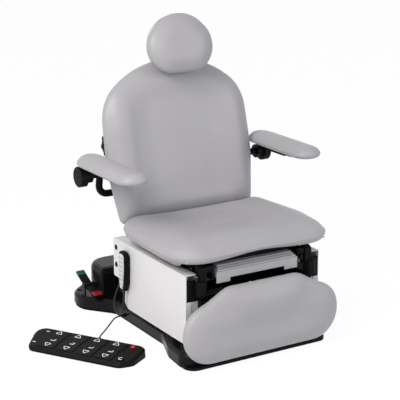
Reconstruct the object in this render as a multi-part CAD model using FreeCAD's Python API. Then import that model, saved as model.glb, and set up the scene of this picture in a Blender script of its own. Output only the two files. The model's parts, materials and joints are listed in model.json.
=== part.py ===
import FreeCAD, Part
import math
import os

os.makedirs("parts", exist_ok=True)
V = FreeCAD.Vector

# Examination chair, millimetres. The sitter faces -Y, the floor is z = 0, the mid-plane is x = 0.

# Base on the floor
FLOOR_PAD = 6.0
PLATE_THICK = 12.0
COVER_TOP = 62.0
COVER_WALL = 4.0
BASE_FRONT = -303.0
BASE_TOE = -326.0
BASE_REAR = 650.0
BASE_FRONT_HALF = 338.0
BASE_WAIST_HALF = 275.0
BASE_WING_HALF = 381.0
WING_DEEP = 157.0
WING_FLARE = 121.0 / 96.0
WING_SHELF = 81.0
HOUSING_FRONT = 445.0
HOUSING_REAR = 612.0
HOUSING_TOP = 190.0
INLET_X = 150.0
INLET_Z = 110.0

# Parallelogram lift: arms below, levelling links above
LIFT_ARM = 470.0
LIFT_PIVOT_Y = 425.0
LIFT_PIVOT_Z = 95.0
LINK_RISE = 75.0
LIFT_RANGE = 62.0
ARM_X = 160.0
ARM_WIDE = 44.0
ARM_DEEP = 50.0
LIFT_SHAFT_R = 14.0
LIFT_TUBE_R = 20.0
UPPER_SHAFT_R = 11.0
LINK_X = 126.0
LINK_WIDE = 12.0
LINK_DEEP = 18.0
LINK_PIN_R = 7.0
HORN = 65.0
HORN_LEAN = LIFT_RANGE / 2
HORN_PIN_R = 5.0
LIFT_ROD_R = 12.0
LIFT_DRIVE_R = 28.0
DRIVE_REAR = 62.0
DRIVE_FRONT = 300.0

# Lifted body
BODY_HALF = 309.0
BODY_FRONT = -270.0
BODY_REAR = 309.0
BODY_LOW = 95.0
BODY_TOP = 371.0
SHEET = 3.0
FLANGE = 48.0
NOTCH_TOP = 208.0
NOTCH_FRONT = 205.0
NOTCH_REAR = 262.0
FRONT_PANEL_TOP = 265.0
RAIL_LOW = 215.0
RAIL_HIGH = 255.0
RAIL_WIDE = 30.0
PANEL_HOLE_R = 12.0

# Seat, tilting on the body
TILT_Y = 250.0
TILT_Z = 350.0
TILT_RANGE = 20.0
TILT_PIN_R = 9.0
TILT_DRIVE_Y = -150.0
TILT_DRIVE_R = 22.0
TILT_ROD_R = 10.0
TILT_EYE_Z = 352.0
TILT_EYE_PIN_R = 6.0
TILT_SLOT_PLAY = 3.2
TILT_DRIVE_LOW = 110.0
TILT_DRIVE_TOP = 300.0
SEAT_RAIL_GAP = 51.0
SEAT_RAIL_WIDE = 25.0
SEAT_RAIL_LOW = 376.0
SEAT_RAIL_HIGH = 400.0
SEAT_BOARD = 12.0
SEAT_HALF = 362.0
SEAT_FRONT = -325.0
SEAT_REAR = 210.0
SEAT_PAD = 76.0
SKIRT_INSET = 20.0
SKIRT_FRONT = -152.0
SKIRT_LOW = 378.0

# Treatment tray below the seat
TRAY_GAP = 19.0
TRAY_FRONT = -290.0
TRAY_BACK = 40.0
TRAY_LOW = 346.3
TRAY_TOP = 373.0
TRAY_WALL = 2.0
TRAY_FACE_LOW = 329.0
TRAY_RUNNER = 6.0

# Backrest, reclining on the seat frame
BACK_Y = 265.0
BACK_Z = 406.0
BACK_LEAN = 13.0
BACK_PIN_R = 9.0
BACK_RANGE = 77.0
BACK_HALF = 341.0
BACK_LOW = 27.0
BACK_HIGH = 680.0
BACK_FACE = 70.0
BACK_REAR = 20.0
BACK_SHELL = 40.0
BACK_TUCK = 48.0
BACK_PLATE_GAP = 2.0
BACK_PLATE = 15.0
BACK_HORN = 60.0
BACK_HORN_LEAN = BACK_RANGE / 2
BACK_DRIVE_X = -60.0
BACK_DRIVE_R = 20.0
BACK_DRIVE_FRONT = 205.0
BACK_ROD_R = 8.0
BACK_HORN_PIN_R = 5.0
KNOB_X = -220.0
KNOB_UP = 350.0
KNOB_R = 76.0
KNOB_PIN_R = 5.0

# Leg section, hinged at the front of the seat frame
LEG_Y = -270.0
LEG_Z = 385.0
LEG_PIN_R = 8.0
LEG_HALF = 355.0
LEG_LOW = 27.0
LEG_SHOULDER = 258.0
LEG_HIGH = 322.0
LEG_FRONT = -366.0
LEG_BACK = -308.0
LEG_BOARD = 11.0
LEG_RANGE = 90.0
LEG_ARM_GAP = 3.0
LEG_ARM_WIDE = 30.0
LEG_COLUMN_FRONT = -304.0
LEG_COLUMN_HIGH = 345.0
LEG_HORN = 50.0
LEG_HORN_PIN_R = 4.5
LEG_DRIVE_R = 18.0
LEG_DRIVE_REAR = -75.0
LEG_ROD_R = 8.0

# Headrest on its post
POST_WIDE = 30.0
POST_DEEP = 12.0
POST_PLACE = 41.0
HEAD_HINGE_UP = 723.0
HEAD_HINGE_FORE = 62.0
HEAD_HALF = 151.0
HEAD_LOW = 615.0
HEAD_HIGH = 851.0
HEAD_REAR = 92.0
HEAD_FACE = 190.0

# Armrests, swinging on hubs beside the back
HUB_Y = 325.0
HUB_Z = 643.0
HUB_R = 42.0
HUB_IN = 427.0
HUB_WIDE = 28.0
HUB_PIN_R = 10.0
BRACKET_R = 14.5
BRACKET_X = 357.0
BRACKET_UP = 160.0
ARM_PAD_LOW = 690.0
ARM_PAD_TOP = 735.0
ARM_PAD_REAR = 345.0
ARM_PAD_TIP = -98.0
ARM_PAD_IN = 350.0
ARM_PAD_OUT = 476.0
ARM_PLATE = 12.0

# Wheels under the base and their pedal
WHEEL_R = 22.0
WHEEL_WIDE = 24.0
FRONT_WHEEL_INSET = 68.0
REAR_WHEEL_INSET = 111.0
WHEEL_RISE = 3.0
WHEEL_DROP = 8.0
AXLE_R = 5.0
FRONT_AXLE_Y = -230.0
REAR_AXLE_Y = 572.0
PEDAL_INSET = 51.0
PEDAL_Y = 506.0
PEDAL_Z = 104.0
PEDAL_HALF = 18.0
PEDAL_REACH = 92.0
PEDAL_PAD = 26.0
PEDAL_THICK = 10.0
PEDAL_LAYER = 4.0
PEDAL_PIN_R = 5.0
PEDAL_RED_DROP = -10.0
PEDAL_GREEN_RISE = 26.0

# Foot control lying beside the chair
FOOT_X = -562.0
FOOT_Y = 72.0
FOOT_TURN = -57.6
FOOT_SLOPE = 7.5
FOOT_SINK = 4.0
FOOT_TAIL = 121.8
FOOT_WIDE = 166.0
FOOT_SLANT = 42.0
FOOT_HIGH = 34.0
ROCKER_PITCH = 87.4
ROCKER_START = 84.0
ROCKER_WIDE = 78.0
ROCKER_LONG = 132.0
ROCKER_LOW = 29.0
ROCKER_HIGH = 37.0
ROCKER_PIN_R = 2.5
POCKET_LOW = 23.5
HOME_R = 14.0
STOP_R = 9.0
BUTTON_INSET = 51.0
STOP_Y = 54.0
HOME_Y = -45.0
FOOT_PORT_X = 11.0
FOOT_PORT_Z = 26.0
FOOT_PORT_TURN = 28.0
FOOT_PORT_LONG = 12.0

# Hand control on the right side panel
HAND_Y = 190.0
HAND_HALF = 28.0
HAND_TAIL = 18.0
HAND_LOW = 178.0
HAND_HIGH = 346.0
HOLDER_DEEP = 8.0
HAND_DEEP = 21.0
KEYPAD = 1.5

# Clearances and cords
RUN = 0.05
SOFT_GAP = 0.3
CORD_R = 3.0
HAND_CORD_R = 4.8
FOOT_GLAND = V(-275.0, 286.0, 30.0)
GLAND_LONG = 16.0

PLATE_TOP = FLOOR_PAD + PLATE_THICK
UPPER_PIVOT_Y = LIFT_PIVOT_Y - LIFT_ARM
LINK_Z = LIFT_PIVOT_Z + LINK_RISE
BACK_AXIS = V(0.0, BACK_Y, BACK_Z)
RAIL_OUT = BODY_HALF - SHEET
RAIL_IN = RAIL_OUT - RAIL_WIDE
SEAT_RAIL_OUT = RAIL_IN - SEAT_RAIL_GAP
SEAT_RAIL_IN = SEAT_RAIL_OUT - SEAT_RAIL_WIDE
TILT_DRIVE_X = -(SEAT_RAIL_IN + SEAT_RAIL_OUT) / 2
TRAY_HALF = SEAT_RAIL_IN - TRAY_GAP
BACK_PLATE_OUT = SEAT_RAIL_IN - BACK_PLATE_GAP
BACK_PLATE_IN = BACK_PLATE_OUT - BACK_PLATE
LEG_ARM_IN = SEAT_RAIL_OUT + LEG_ARM_GAP
LEG_ARM_OUT = LEG_ARM_IN + LEG_ARM_WIDE
LEG_DRIVE_X = SEAT_RAIL_OUT + LEG_ARM_WIDE / 2
HUB_OUT = HUB_IN + HUB_WIDE
FRONT_AXLE = (FRONT_AXLE_Y, BASE_FRONT_HALF - FRONT_WHEEL_INSET)
REAR_AXLE = (REAR_AXLE_Y, BASE_WING_HALF - REAR_WHEEL_INSET)
PEDAL_X = PEDAL_INSET - BASE_WING_HALF
FOOT_LONG = ROCKER_START + 3 * ROCKER_PITCH + FOOT_TAIL
HOUSING_HALF = BASE_WING_HALF - WING_SHELF
SKIRT_HALF = BODY_HALF - SKIRT_INSET
BOARD_TOP = SEAT_RAIL_HIGH + SEAT_BOARD
SEAT_CROWN = BOARD_TOP + SEAT_PAD


# Shape helpers
def box(x0, x1, y0, y1, z0, z1):
    return Part.makeBox(x1 - x0, y1 - y0, z1 - z0, V(x0, y0, z0))


def rod_x(x0, x1, y, z, r):
    return Part.makeCylinder(r, x1 - x0, V(x0, y, z), V(1, 0, 0))


def rod_y(x, y0, y1, z, r):
    return Part.makeCylinder(r, y1 - y0, V(x, y0, z), V(0, 1, 0))


def rod_z(x, y, z0, z1, r):
    return Part.makeCylinder(r, z1 - z0, V(x, y, z0), V(0, 0, 1))


def joined(shapes):
    whole = shapes[0].multiFuse(shapes[1:])
    return whole.removeSplitter()


def flipped(shape):
    return shape.mirror(V(0, 0, 0), V(1, 0, 0))


def both_sides(shape):
    return [shape, flipped(shape)]


def symmetric(right):
    left = [(-x, y, r) for x, y, r in reversed(right)]
    return right + left


def inset_corners(corners, inset):
    out = []
    count = len(corners)
    for i in range(count):
        before = V(*corners[i - 1][:2])
        here = V(*corners[i][:2])
        after = V(*corners[(i + 1) % count][:2])
        d1 = (here - before).normalize()
        d2 = (after - here).normalize()
        n1 = V(-d1.y, d1.x)
        n2 = V(-d2.y, d2.x)
        place = here + (n1 + n2) * (inset / (1.0 + n1.dot(n2)))
        convex = d1.cross(d2).z > 0
        radius = corners[i][2] - inset if convex else corners[i][2] + inset
        out.append((place, max(radius, 3.0), d1, d2))
    return out


def outline(corners, inset=0.0, z=0.0):
    lift = V(0, 0, z)
    edges = []
    spans = []
    for place, radius, d1, d2 in inset_corners(corners, inset):
        turn = d1.getAngle(d2)
        reach = radius * math.tan(turn / 2)
        middle = (d2 - d1).normalize() * (radius / math.cos(turn / 2) - radius)
        spans.append((place - d1 * reach, place + middle, place + d2 * reach))
    for i, (start, middle, end) in enumerate(spans):
        edges.append(Part.Arc(start + lift, middle + lift, end + lift).toShape())
        following = spans[(i + 1) % len(spans)][0]
        edges.append(Part.LineSegment(end + lift, following + lift).toShape())
    return Part.Wire(edges)


def slab(corners, z0, z1, bevel=0.0, inset=0.0):
    flat = Part.Face(outline(corners, inset, z0))
    body = flat.extrude(V(0, 0, z1 - bevel - z0))
    if bevel == 0.0:
        return body
    rim = [outline(corners, inset, z1 - bevel), outline(corners, inset + bevel, z1)]
    return body.fuse(Part.makeLoft(rim, True, True)).removeSplitter()


def cushion(corners, levels):
    return Part.makeLoft([outline(corners, inset, z) for z, inset in levels], True, True)


def stood_up(shape):
    turned = shape.copy()
    turned.rotate(V(0, 0, 0), V(1, 0, 0), 90)
    return turned


def leaned(shape):
    placed = shape.copy()
    placed.rotate(V(0, 0, 0), V(1, 0, 0), -BACK_LEAN)
    placed.translate(BACK_AXIS)
    return placed


def back_local(y, z):
    lean = math.radians(BACK_LEAN)
    dy = y - BACK_Y
    dz = z - BACK_Z
    return dy * math.cos(lean) - dz * math.sin(lean), dz * math.cos(lean) + dy * math.sin(lean)


def tube(points, radius):
    edges = []
    radii = []
    start = points[0]
    for i in range(1, len(points) - 1):
        run_in = points[i] - points[i - 1]
        run_out = points[i + 1] - points[i]
        turn = run_in.getAngle(run_out)
        reach = 0.45 * min(run_in.Length, run_out.Length)
        bend = reach / math.tan(turn / 2)
        d1 = V(run_in).normalize()
        d2 = V(run_out).normalize()
        entry = points[i] - d1 * reach
        leave = points[i] + d2 * reach
        middle = points[i] + (d2 - d1).normalize() * (bend / math.cos(turn / 2) - bend)
        edges.append(Part.LineSegment(start, entry).toShape())
        edges.append(Part.Arc(entry, middle, leave).toShape())
        radii.append(round(bend, 1))
        start = leave
    edges.append(Part.LineSegment(start, points[-1]).toShape())
    path = Part.Wire(edges)
    section = Part.Wire(Part.makeCircle(radius, points[0], points[1] - points[0]))
    solid = path.makePipeShell([section], True, False)
    print("tube radii", radii, "length", round(path.Length, 1))
    print("volume share", round(solid.Volume / (math.pi * radius ** 2 * path.Length), 4))
    return solid


def save(node, *solids):
    shape = solids[0] if len(solids) == 1 else Part.makeCompound(list(solids))
    if not shape.isValid():
        print("not valid:", node)
    print(node, len(shape.Solids), "solids", round(shape.Volume / 1000), "cm3")
    shape.exportStep("parts/%s.step" % node)


# Base plate, towers and covers
FLARE_DEEP = (BASE_WING_HALF - 10.0 - BASE_WAIST_HALF) * WING_FLARE
BASE_CORNERS = symmetric([
    (BASE_FRONT_HALF, BASE_FRONT, 50.0),
    (BASE_FRONT_HALF - 16.0, BASE_FRONT + 153.0, 90.0),
    (BASE_WAIST_HALF, BASE_FRONT + 273.0, 90.0),
    (BASE_WAIST_HALF, BASE_REAR - WING_DEEP - FLARE_DEEP, 60.0),
    (BASE_WING_HALF - 10.0, BASE_REAR - WING_DEEP, 90.0),
    (BASE_WING_HALF, BASE_REAR, 116.0),
])
WHEEL_Z = WHEEL_R + WHEEL_RISE
WELL_REACH = WHEEL_WIDE / 2 + 10.0
WELL_HALF_Y = WHEEL_R + 6.0
CARRIAGE_LOW = WHEEL_Z + AXLE_R + 2.0
CARRIAGE_HIGH = CARRIAGE_LOW + 12.0
GUIDE_X = 150.0
GUIDE_R = 5.0
TOWER_IN = ARM_X + ARM_WIDE + 8.0
TOWER_OUT = TOWER_IN + 10.0
LINK_PLATES = ((LINK_X - 18.0, LINK_X - 8.0), (LINK_X + LINK_WIDE + 8.0, LINK_X + LINK_WIDE + 16.0))
TOWER_BACK = LIFT_PIVOT_Y + 60.0
TOWER_TOP = LINK_Z + LINK_PIN_R + 3.0


def towers():
    parts = []
    outer = box(TOWER_IN, TOWER_OUT, LIFT_PIVOT_Y - 35, LIFT_PIVOT_Y + 35, PLATE_TOP, LIFT_PIVOT_Z)
    crown = rod_x(TOWER_IN, TOWER_OUT, LIFT_PIVOT_Y, LIFT_PIVOT_Z, 35.0)
    bore = rod_x(TOWER_IN - 1, TOWER_OUT + 1, LIFT_PIVOT_Y, LIFT_PIVOT_Z, LIFT_SHAFT_R)
    parts.append(outer.fuse(crown).cut(bore))
    head_low = LINK_Z - LINK_PIN_R - 3.0
    for x0, x1 in LINK_PLATES:
        parts.append(box(x0, x1, TOWER_BACK - 30, TOWER_BACK, PLATE_TOP, TOWER_TOP))
        parts.append(box(x0, x1, LIFT_PIVOT_Y - 12, TOWER_BACK, head_low, TOWER_TOP))
    parts.append(rod_x(LINK_PLATES[0][0], LINK_PLATES[1][1], LIFT_PIVOT_Y, LINK_Z, LINK_PIN_R))
    return parts


def base_plate():
    plate = slab(BASE_CORNERS, FLOOR_PAD, PLATE_TOP, 0.0, 5.0)
    toe_half = BASE_FRONT_HALF - 12.0
    toe = symmetric([(toe_half, BASE_TOE, 45.0), (toe_half, BASE_FRONT + 60.0, 8.0)])
    plate = plate.fuse(slab(toe, FLOOR_PAD, PLATE_TOP)).removeSplitter()
    for y, wheel_x in (FRONT_AXLE, REAR_AXLE):
        half = wheel_x + WELL_REACH
        plate = plate.cut(box(-half, half, y - WELL_HALF_Y, y + WELL_HALF_Y, 0, COVER_TOP))
    pieces = [plate]
    for part in towers():
        pieces += both_sides(part)
    return joined(pieces)


def base_cover():
    shell = slab(BASE_CORNERS, PLATE_TOP, COVER_TOP, 9.0)
    roof = COVER_TOP - COVER_WALL
    shell = shell.cut(slab(BASE_CORNERS, PLATE_TOP - 1, roof, 9.0, COVER_WALL))
    slot = box(LINK_PLATES[0][0] - 4, TOWER_OUT + 4, LIFT_PIVOT_Y - 40, TOWER_BACK + 4,
               roof - 1, COVER_TOP + 1)
    for opening in both_sides(slot):
        shell = shell.cut(opening)
    shell = shell.cut(box(-34, 34, DRIVE_REAR - 4, DRIVE_REAR + 44, roof - 1, COVER_TOP + 1))
    pieces = [shell]
    for y in (FRONT_AXLE_Y, REAR_AXLE_Y):
        pieces += both_sides(rod_z(GUIDE_X, y, WHEEL_Z + AXLE_R + 1, roof + 1, GUIDE_R))
    return joined(pieces + pedal_bracket())


def pedal_bracket():
    lugs = []
    for x0 in (PEDAL_X - PEDAL_HALF - 9, PEDAL_X + PEDAL_HALF + 1):
        lug = box(x0, x0 + 8, PEDAL_Y - 14, PEDAL_Y + 14, COVER_TOP - 1, PEDAL_Z)
        lug = lug.fuse(rod_x(x0, x0 + 8, PEDAL_Y, PEDAL_Z, 14.0))
        lugs.append(lug.cut(rod_x(x0 - 1, x0 + 9, PEDAL_Y, PEDAL_Z, PEDAL_PIN_R + RUN)))
    return lugs


def floor_pads():
    places = ((BASE_FRONT_HALF - 43.0, BASE_FRONT + 23.0), (BASE_WAIST_HALF - 35.0, 170.0),
              (BASE_WING_HALF - 60.0, BASE_REAR - 120.0))
    pads = [rod_z(0.0, 0.0, 0.0, FLOOR_PAD, 18.0)]
    for x, y in places:
        pads += both_sides(rod_z(x, y, 0.0, FLOOR_PAD, 18.0))
    return pads


def rear_housing():
    corners = symmetric([(HOUSING_HALF, HOUSING_FRONT, 12.0), (HOUSING_HALF, HOUSING_REAR, 95.0)])
    crown = [(HOUSING_TOP - 22, 0.0), (HOUSING_TOP - 12, 2.5), (HOUSING_TOP - 4, 9.0), (HOUSING_TOP, 22.0)]
    inside = [(z - COVER_WALL, inset + COVER_WALL) for z, inset in crown]
    shell = cushion(corners, [(COVER_TOP, 0.0)] + crown)
    shell = shell.cut(cushion(corners, [(COVER_TOP - 1, COVER_WALL)] + inside))
    reach = TOWER_OUT + 10.0
    front = box(-reach, reach, HOUSING_FRONT - 1, HOUSING_FRONT + 30, COVER_TOP - 1, TOWER_TOP + 3)
    inlet = box(INLET_X - 24, INLET_X + 24, HOUSING_REAR - 12, HOUSING_REAR + 1, INLET_Z - 14, INLET_Z + 14)
    return shell.cut(front).cut(inlet)


def mains_inlet():
    block = box(INLET_X - 24, INLET_X + 24, HOUSING_REAR - 34, HOUSING_REAR, INLET_Z - 14, INLET_Z + 14)
    flange = box(INLET_X - 28, INLET_X + 28, HOUSING_REAR, HOUSING_REAR + 3, INLET_Z - 18, INLET_Z + 18)
    recess = box(INLET_X - 13, INLET_X + 13, HOUSING_REAR - 18, HOUSING_REAR + 4,
                 INLET_Z - 8.5, INLET_Z + 8.5)
    whole = block.fuse(flange).cut(recess)
    pins = [rod_y(INLET_X + dx, HOUSING_REAR - 20, HOUSING_REAR - 3, INLET_Z + dz, 2.2)
            for dx, dz in ((-7.0, -2.0), (0.0, 2.5), (7.0, -2.0))]
    return joined([whole] + pins)


# Lift drive between base and arms
HORN_MEAN_Z = LIFT_PIVOT_Z + HORN * (1 + math.cos(math.radians(HORN_LEAN))) / 2
HORN_TIP_Y = LIFT_PIVOT_Y - HORN * math.sin(math.radians(HORN_LEAN))
HORN_TIP_Z = LIFT_PIVOT_Z + HORN * math.cos(math.radians(HORN_LEAN))


def lift_drive():
    barrel = rod_y(0, DRIVE_REAR, DRIVE_FRONT, HORN_MEAN_Z, LIFT_DRIVE_R)
    motor = rod_y(46.0, DRIVE_REAR + 8, DRIVE_REAR + 130, HORN_MEAN_Z, 20.0)
    head = box(-30, 68, DRIVE_REAR, DRIVE_REAR + 24, HORN_MEAN_Z - 22, HORN_MEAN_Z + 22)
    foot = box(-30, 30, DRIVE_REAR, DRIVE_REAR + 40, PLATE_TOP, HORN_MEAN_Z)
    bore = rod_y(0, DRIVE_FRONT - 150, DRIVE_FRONT + 1, HORN_MEAN_Z, LIFT_ROD_R + RUN)
    return joined([barrel, motor, head, foot]).cut(bore)


def lift_rod():
    shaft = rod_y(0, DRIVE_FRONT - 100, HORN_TIP_Y - 19, HORN_MEAN_Z, LIFT_ROD_R)
    eye = box(-6, 6, HORN_TIP_Y - 20, HORN_TIP_Y + 15, HORN_MEAN_Z - 21, HORN_MEAN_Z + 21)
    half = HORN_PIN_R + 1.5
    slot = box(-7, 7, HORN_TIP_Y - half, HORN_TIP_Y + half, HORN_MEAN_Z - half - 5, HORN_MEAN_Z + half + 5)
    return joined([shaft, eye]).cut(slot)


def lift_arms():
    low = LIFT_PIVOT_Z - ARM_DEEP / 2
    high = LIFT_PIVOT_Z + ARM_DEEP / 2
    pieces = []
    bar = box(ARM_X, ARM_X + ARM_WIDE, UPPER_PIVOT_Y, LIFT_PIVOT_Y, low, high)
    pieces += both_sides(bar)
    for y in (UPPER_PIVOT_Y, LIFT_PIVOT_Y):
        pieces += both_sides(rod_x(ARM_X, ARM_X + ARM_WIDE, y, LIFT_PIVOT_Z, ARM_DEEP / 2))
        pieces.append(rod_x(-ARM_X - 1, ARM_X + 1, y, LIFT_PIVOT_Z, LIFT_TUBE_R))
    horn = box(8, 18, -12, 12, 0, HORN).fuse(rod_x(8, 18, 0, HORN, 12.0))
    horn.rotate(V(0, 0, 0), V(1, 0, 0), HORN_LEAN)
    horn.translate(V(0, LIFT_PIVOT_Y, LIFT_PIVOT_Z))
    pieces += both_sides(horn)
    pieces.append(rod_x(-18, 18, HORN_TIP_Y, HORN_TIP_Z, HORN_PIN_R))
    whole = joined(pieces)
    reach = ARM_X + ARM_WIDE + 1
    whole = whole.cut(rod_x(-reach, reach, LIFT_PIVOT_Y, LIFT_PIVOT_Z, LIFT_SHAFT_R + RUN))
    return whole.cut(rod_x(-reach, reach, UPPER_PIVOT_Y, LIFT_PIVOT_Z, UPPER_SHAFT_R + RUN))


def level_link():
    low = LINK_Z - LINK_DEEP / 2
    bar = box(LINK_X, LINK_X + LINK_WIDE, UPPER_PIVOT_Y, LIFT_PIVOT_Y, low, low + LINK_DEEP)
    for y in (UPPER_PIVOT_Y, LIFT_PIVOT_Y):
        bar = bar.fuse(rod_x(LINK_X, LINK_X + LINK_WIDE, y, LINK_Z, LINK_PIN_R + 5))
    clear = LINK_PIN_R + 0.4
    upper = rod_x(LINK_X - 1, LINK_X + LINK_WIDE + 1, UPPER_PIVOT_Y, LINK_Z, clear)
    lower = rod_x(LINK_X - 1, LINK_X + LINK_WIDE + 1, LIFT_PIVOT_Y, LINK_Z, LINK_PIN_R + RUN)
    return bar.cut(upper).cut(lower)


def lift_shaft():
    return rod_x(-TOWER_OUT, TOWER_OUT, LIFT_PIVOT_Y, LIFT_PIVOT_Z, LIFT_SHAFT_R)


# Lifted frame and its panels
FRAME_FRONT = BODY_FRONT + 2 * SHEET
FRAME_REAR = BODY_REAR - 2 * SHEET
STOP_IN = SEAT_RAIL_IN + 3.0
STOP_OUT = SEAT_RAIL_OUT - 4.0
UPRIGHT_TOP = BODY_TOP - SHEET - 2.0


def chassis():
    half = [box(RAIL_IN, RAIL_OUT, FRAME_FRONT, FRAME_REAR, RAIL_LOW, RAIL_HIGH)]
    lug = box(TOWER_IN, TOWER_OUT, UPPER_PIVOT_Y - 28, UPPER_PIVOT_Y + 28, LIFT_PIVOT_Z, RAIL_LOW + 1)
    lug = lug.fuse(rod_x(TOWER_IN, TOWER_OUT, UPPER_PIVOT_Y, LIFT_PIVOT_Z, 25.0))
    half.append(lug)
    for x0, x1 in LINK_PLATES:
        half.append(box(x0, x1, UPPER_PIVOT_Y - 16, UPPER_PIVOT_Y + 16, LINK_Z - 12, RAIL_LOW + 1))
    half.append(rod_x(LINK_PLATES[0][0], LINK_PLATES[1][1], UPPER_PIVOT_Y, LINK_Z, LINK_PIN_R))
    upright = box(RAIL_IN, RAIL_IN + 14, TILT_Y - 24, TILT_Y + 24, RAIL_HIGH - 1, UPRIGHT_TOP)
    half.append(upright.cut(rod_x(RAIL_IN - 1, RAIL_IN + 15, TILT_Y, TILT_Z, TILT_PIN_R + RUN)))
    half.append(box(STOP_IN, STOP_OUT, UPPER_PIVOT_Y - 15, UPPER_PIVOT_Y + 15, RAIL_HIGH - 1, SEAT_RAIL_LOW))
    pieces = []
    for part in half:
        pieces += both_sides(part)
    for y0, y1 in ((FRAME_FRONT, FRAME_FRONT + 30), (UPPER_PIVOT_Y - 25, UPPER_PIVOT_Y + 25),
                   (FRAME_REAR - 36, FRAME_REAR)):
        pieces.append(box(-RAIL_IN - 1, RAIL_IN + 1, y0, y1, RAIL_LOW, RAIL_HIGH))
    pieces.append(rod_x(-TOWER_OUT, TOWER_OUT, UPPER_PIVOT_Y, LIFT_PIVOT_Z, UPPER_SHAFT_R))
    saddle = box(TILT_DRIVE_X - 18, TILT_DRIVE_X + 18, FRAME_FRONT + 29, TILT_DRIVE_Y,
                 RAIL_LOW + 8, RAIL_HIGH - 4)
    barrel = rod_z(TILT_DRIVE_X, TILT_DRIVE_Y, RAIL_LOW, RAIL_HIGH, TILT_DRIVE_R)
    pieces.append(saddle.cut(barrel))
    return joined(pieces)


def side_panel():
    corners = [
        (BODY_FRONT, BODY_LOW, 6.0), (NOTCH_FRONT, BODY_LOW, 45.0), (NOTCH_REAR, NOTCH_TOP, 22.0),
        (BODY_REAR, NOTCH_TOP, 10.0), (BODY_REAR, BODY_TOP, 4.0), (BODY_FRONT, BODY_TOP, 4.0),
    ]
    sheet = slab(corners, 0.0, SHEET)
    sheet.rotate(V(0, 0, 0), V(1, 1, 1), 120)
    sheet.translate(V(BODY_HALF - SHEET, 0, 0))
    flange = box(BODY_HALF - FLANGE, BODY_HALF - 1, BODY_FRONT + 4, BODY_REAR - 4, BODY_TOP - SHEET, BODY_TOP)
    front = box(BODY_HALF - 24, BODY_HALF - 1, BODY_FRONT, BODY_FRONT + SHEET, BODY_LOW + 6, FRONT_PANEL_TOP)
    rear = box(BODY_HALF - 24, BODY_HALF - 1, BODY_REAR - SHEET, BODY_REAR, NOTCH_TOP + 10, BODY_TOP - 4)
    whole = joined([sheet, flange, front, rear])
    for z in (BODY_TOP - 37.0, BODY_TOP - 111.0):
        whole = whole.cut(rod_x(BODY_HALF - SHEET - 1, BODY_HALF + 1, BODY_REAR - 22, z, PANEL_HOLE_R))
    return whole


def front_panel():
    back = BODY_FRONT + SHEET
    return box(-RAIL_OUT, RAIL_OUT, back, back + SHEET, BODY_LOW, FRONT_PANEL_TOP)


def rear_panel():
    back = BODY_REAR - 2 * SHEET
    sheet = box(-RAIL_OUT, RAIL_OUT, back, back + SHEET, NOTCH_TOP + 10, BODY_TOP - SHEET)
    half = BACK_PLATE_OUT + 6.0
    return sheet.cut(box(-half, half, back - 1, back + SHEET + 1, RAIL_HIGH, BODY_TOP))


def front_bezel():
    front = BODY_FRONT + 1.0
    inner = LEG_ARM_OUT + 6.0
    ring = box(-RAIL_OUT, RAIL_OUT, front, front + 10, FRONT_PANEL_TOP, BODY_TOP - 26)
    return ring.cut(box(-inner, inner, front - 1, front + 11, FRONT_PANEL_TOP + 12, BODY_TOP))


# Tilt drive between body and seat frame
TILT_ARM = TILT_Y - TILT_DRIVE_Y
TILT_SLIP = TILT_ARM / math.cos(math.radians(TILT_RANGE)) - TILT_ARM


def tilt_drive():
    barrel = rod_z(TILT_DRIVE_X, TILT_DRIVE_Y, TILT_DRIVE_LOW, TILT_DRIVE_TOP, TILT_DRIVE_R)
    motor = rod_z(TILT_DRIVE_X + 42, TILT_DRIVE_Y, TILT_DRIVE_LOW + 6, TILT_DRIVE_LOW + 96, 18.0)
    gear = box(TILT_DRIVE_X - 22, TILT_DRIVE_X + 60, TILT_DRIVE_Y - 20, TILT_DRIVE_Y + 20,
               TILT_DRIVE_LOW - 6, TILT_DRIVE_LOW + 18)
    bore = rod_z(TILT_DRIVE_X, TILT_DRIVE_Y, TILT_DRIVE_LOW + 20, TILT_DRIVE_TOP + 1, TILT_ROD_R + RUN)
    return joined([barrel, motor, gear]).cut(bore)


def tilt_rod():
    shaft = rod_z(TILT_DRIVE_X, TILT_DRIVE_Y, TILT_DRIVE_LOW + 30, TILT_EYE_Z - 8, TILT_ROD_R)
    eye = rod_x(TILT_DRIVE_X - 4.5, TILT_DRIVE_X + 4.5, TILT_DRIVE_Y, TILT_EYE_Z, 11.0)
    pin = rod_x(TILT_DRIVE_X - 11.5, TILT_DRIVE_X + 11.5, TILT_DRIVE_Y, TILT_EYE_Z, TILT_EYE_PIN_R)
    neck = box(TILT_DRIVE_X - 4.5, TILT_DRIVE_X + 4.5, TILT_DRIVE_Y - 9, TILT_DRIVE_Y + 9,
               TILT_EYE_Z - 16, TILT_EYE_Z)
    whole = joined([shaft, eye, neck])
    side = 7.0
    for x0 in (TILT_DRIVE_X - 4.5 - side, TILT_DRIVE_X + 4.5):
        whole = whole.cut(box(x0, x0 + side, TILT_DRIVE_Y - 12, TILT_DRIVE_Y + 12,
                              TILT_LUG_LOW - 8, TILT_EYE_Z + 12))
    return joined([whole, pin])


# Seat frame, board and upholstery
TILT_LUG_LOW = TILT_EYE_Z - TILT_EYE_PIN_R - TILT_SLOT_PLAY - 5.0
RUNNER_LOW = TRAY_LOW - SOFT_GAP - TRAY_RUNNER


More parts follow.
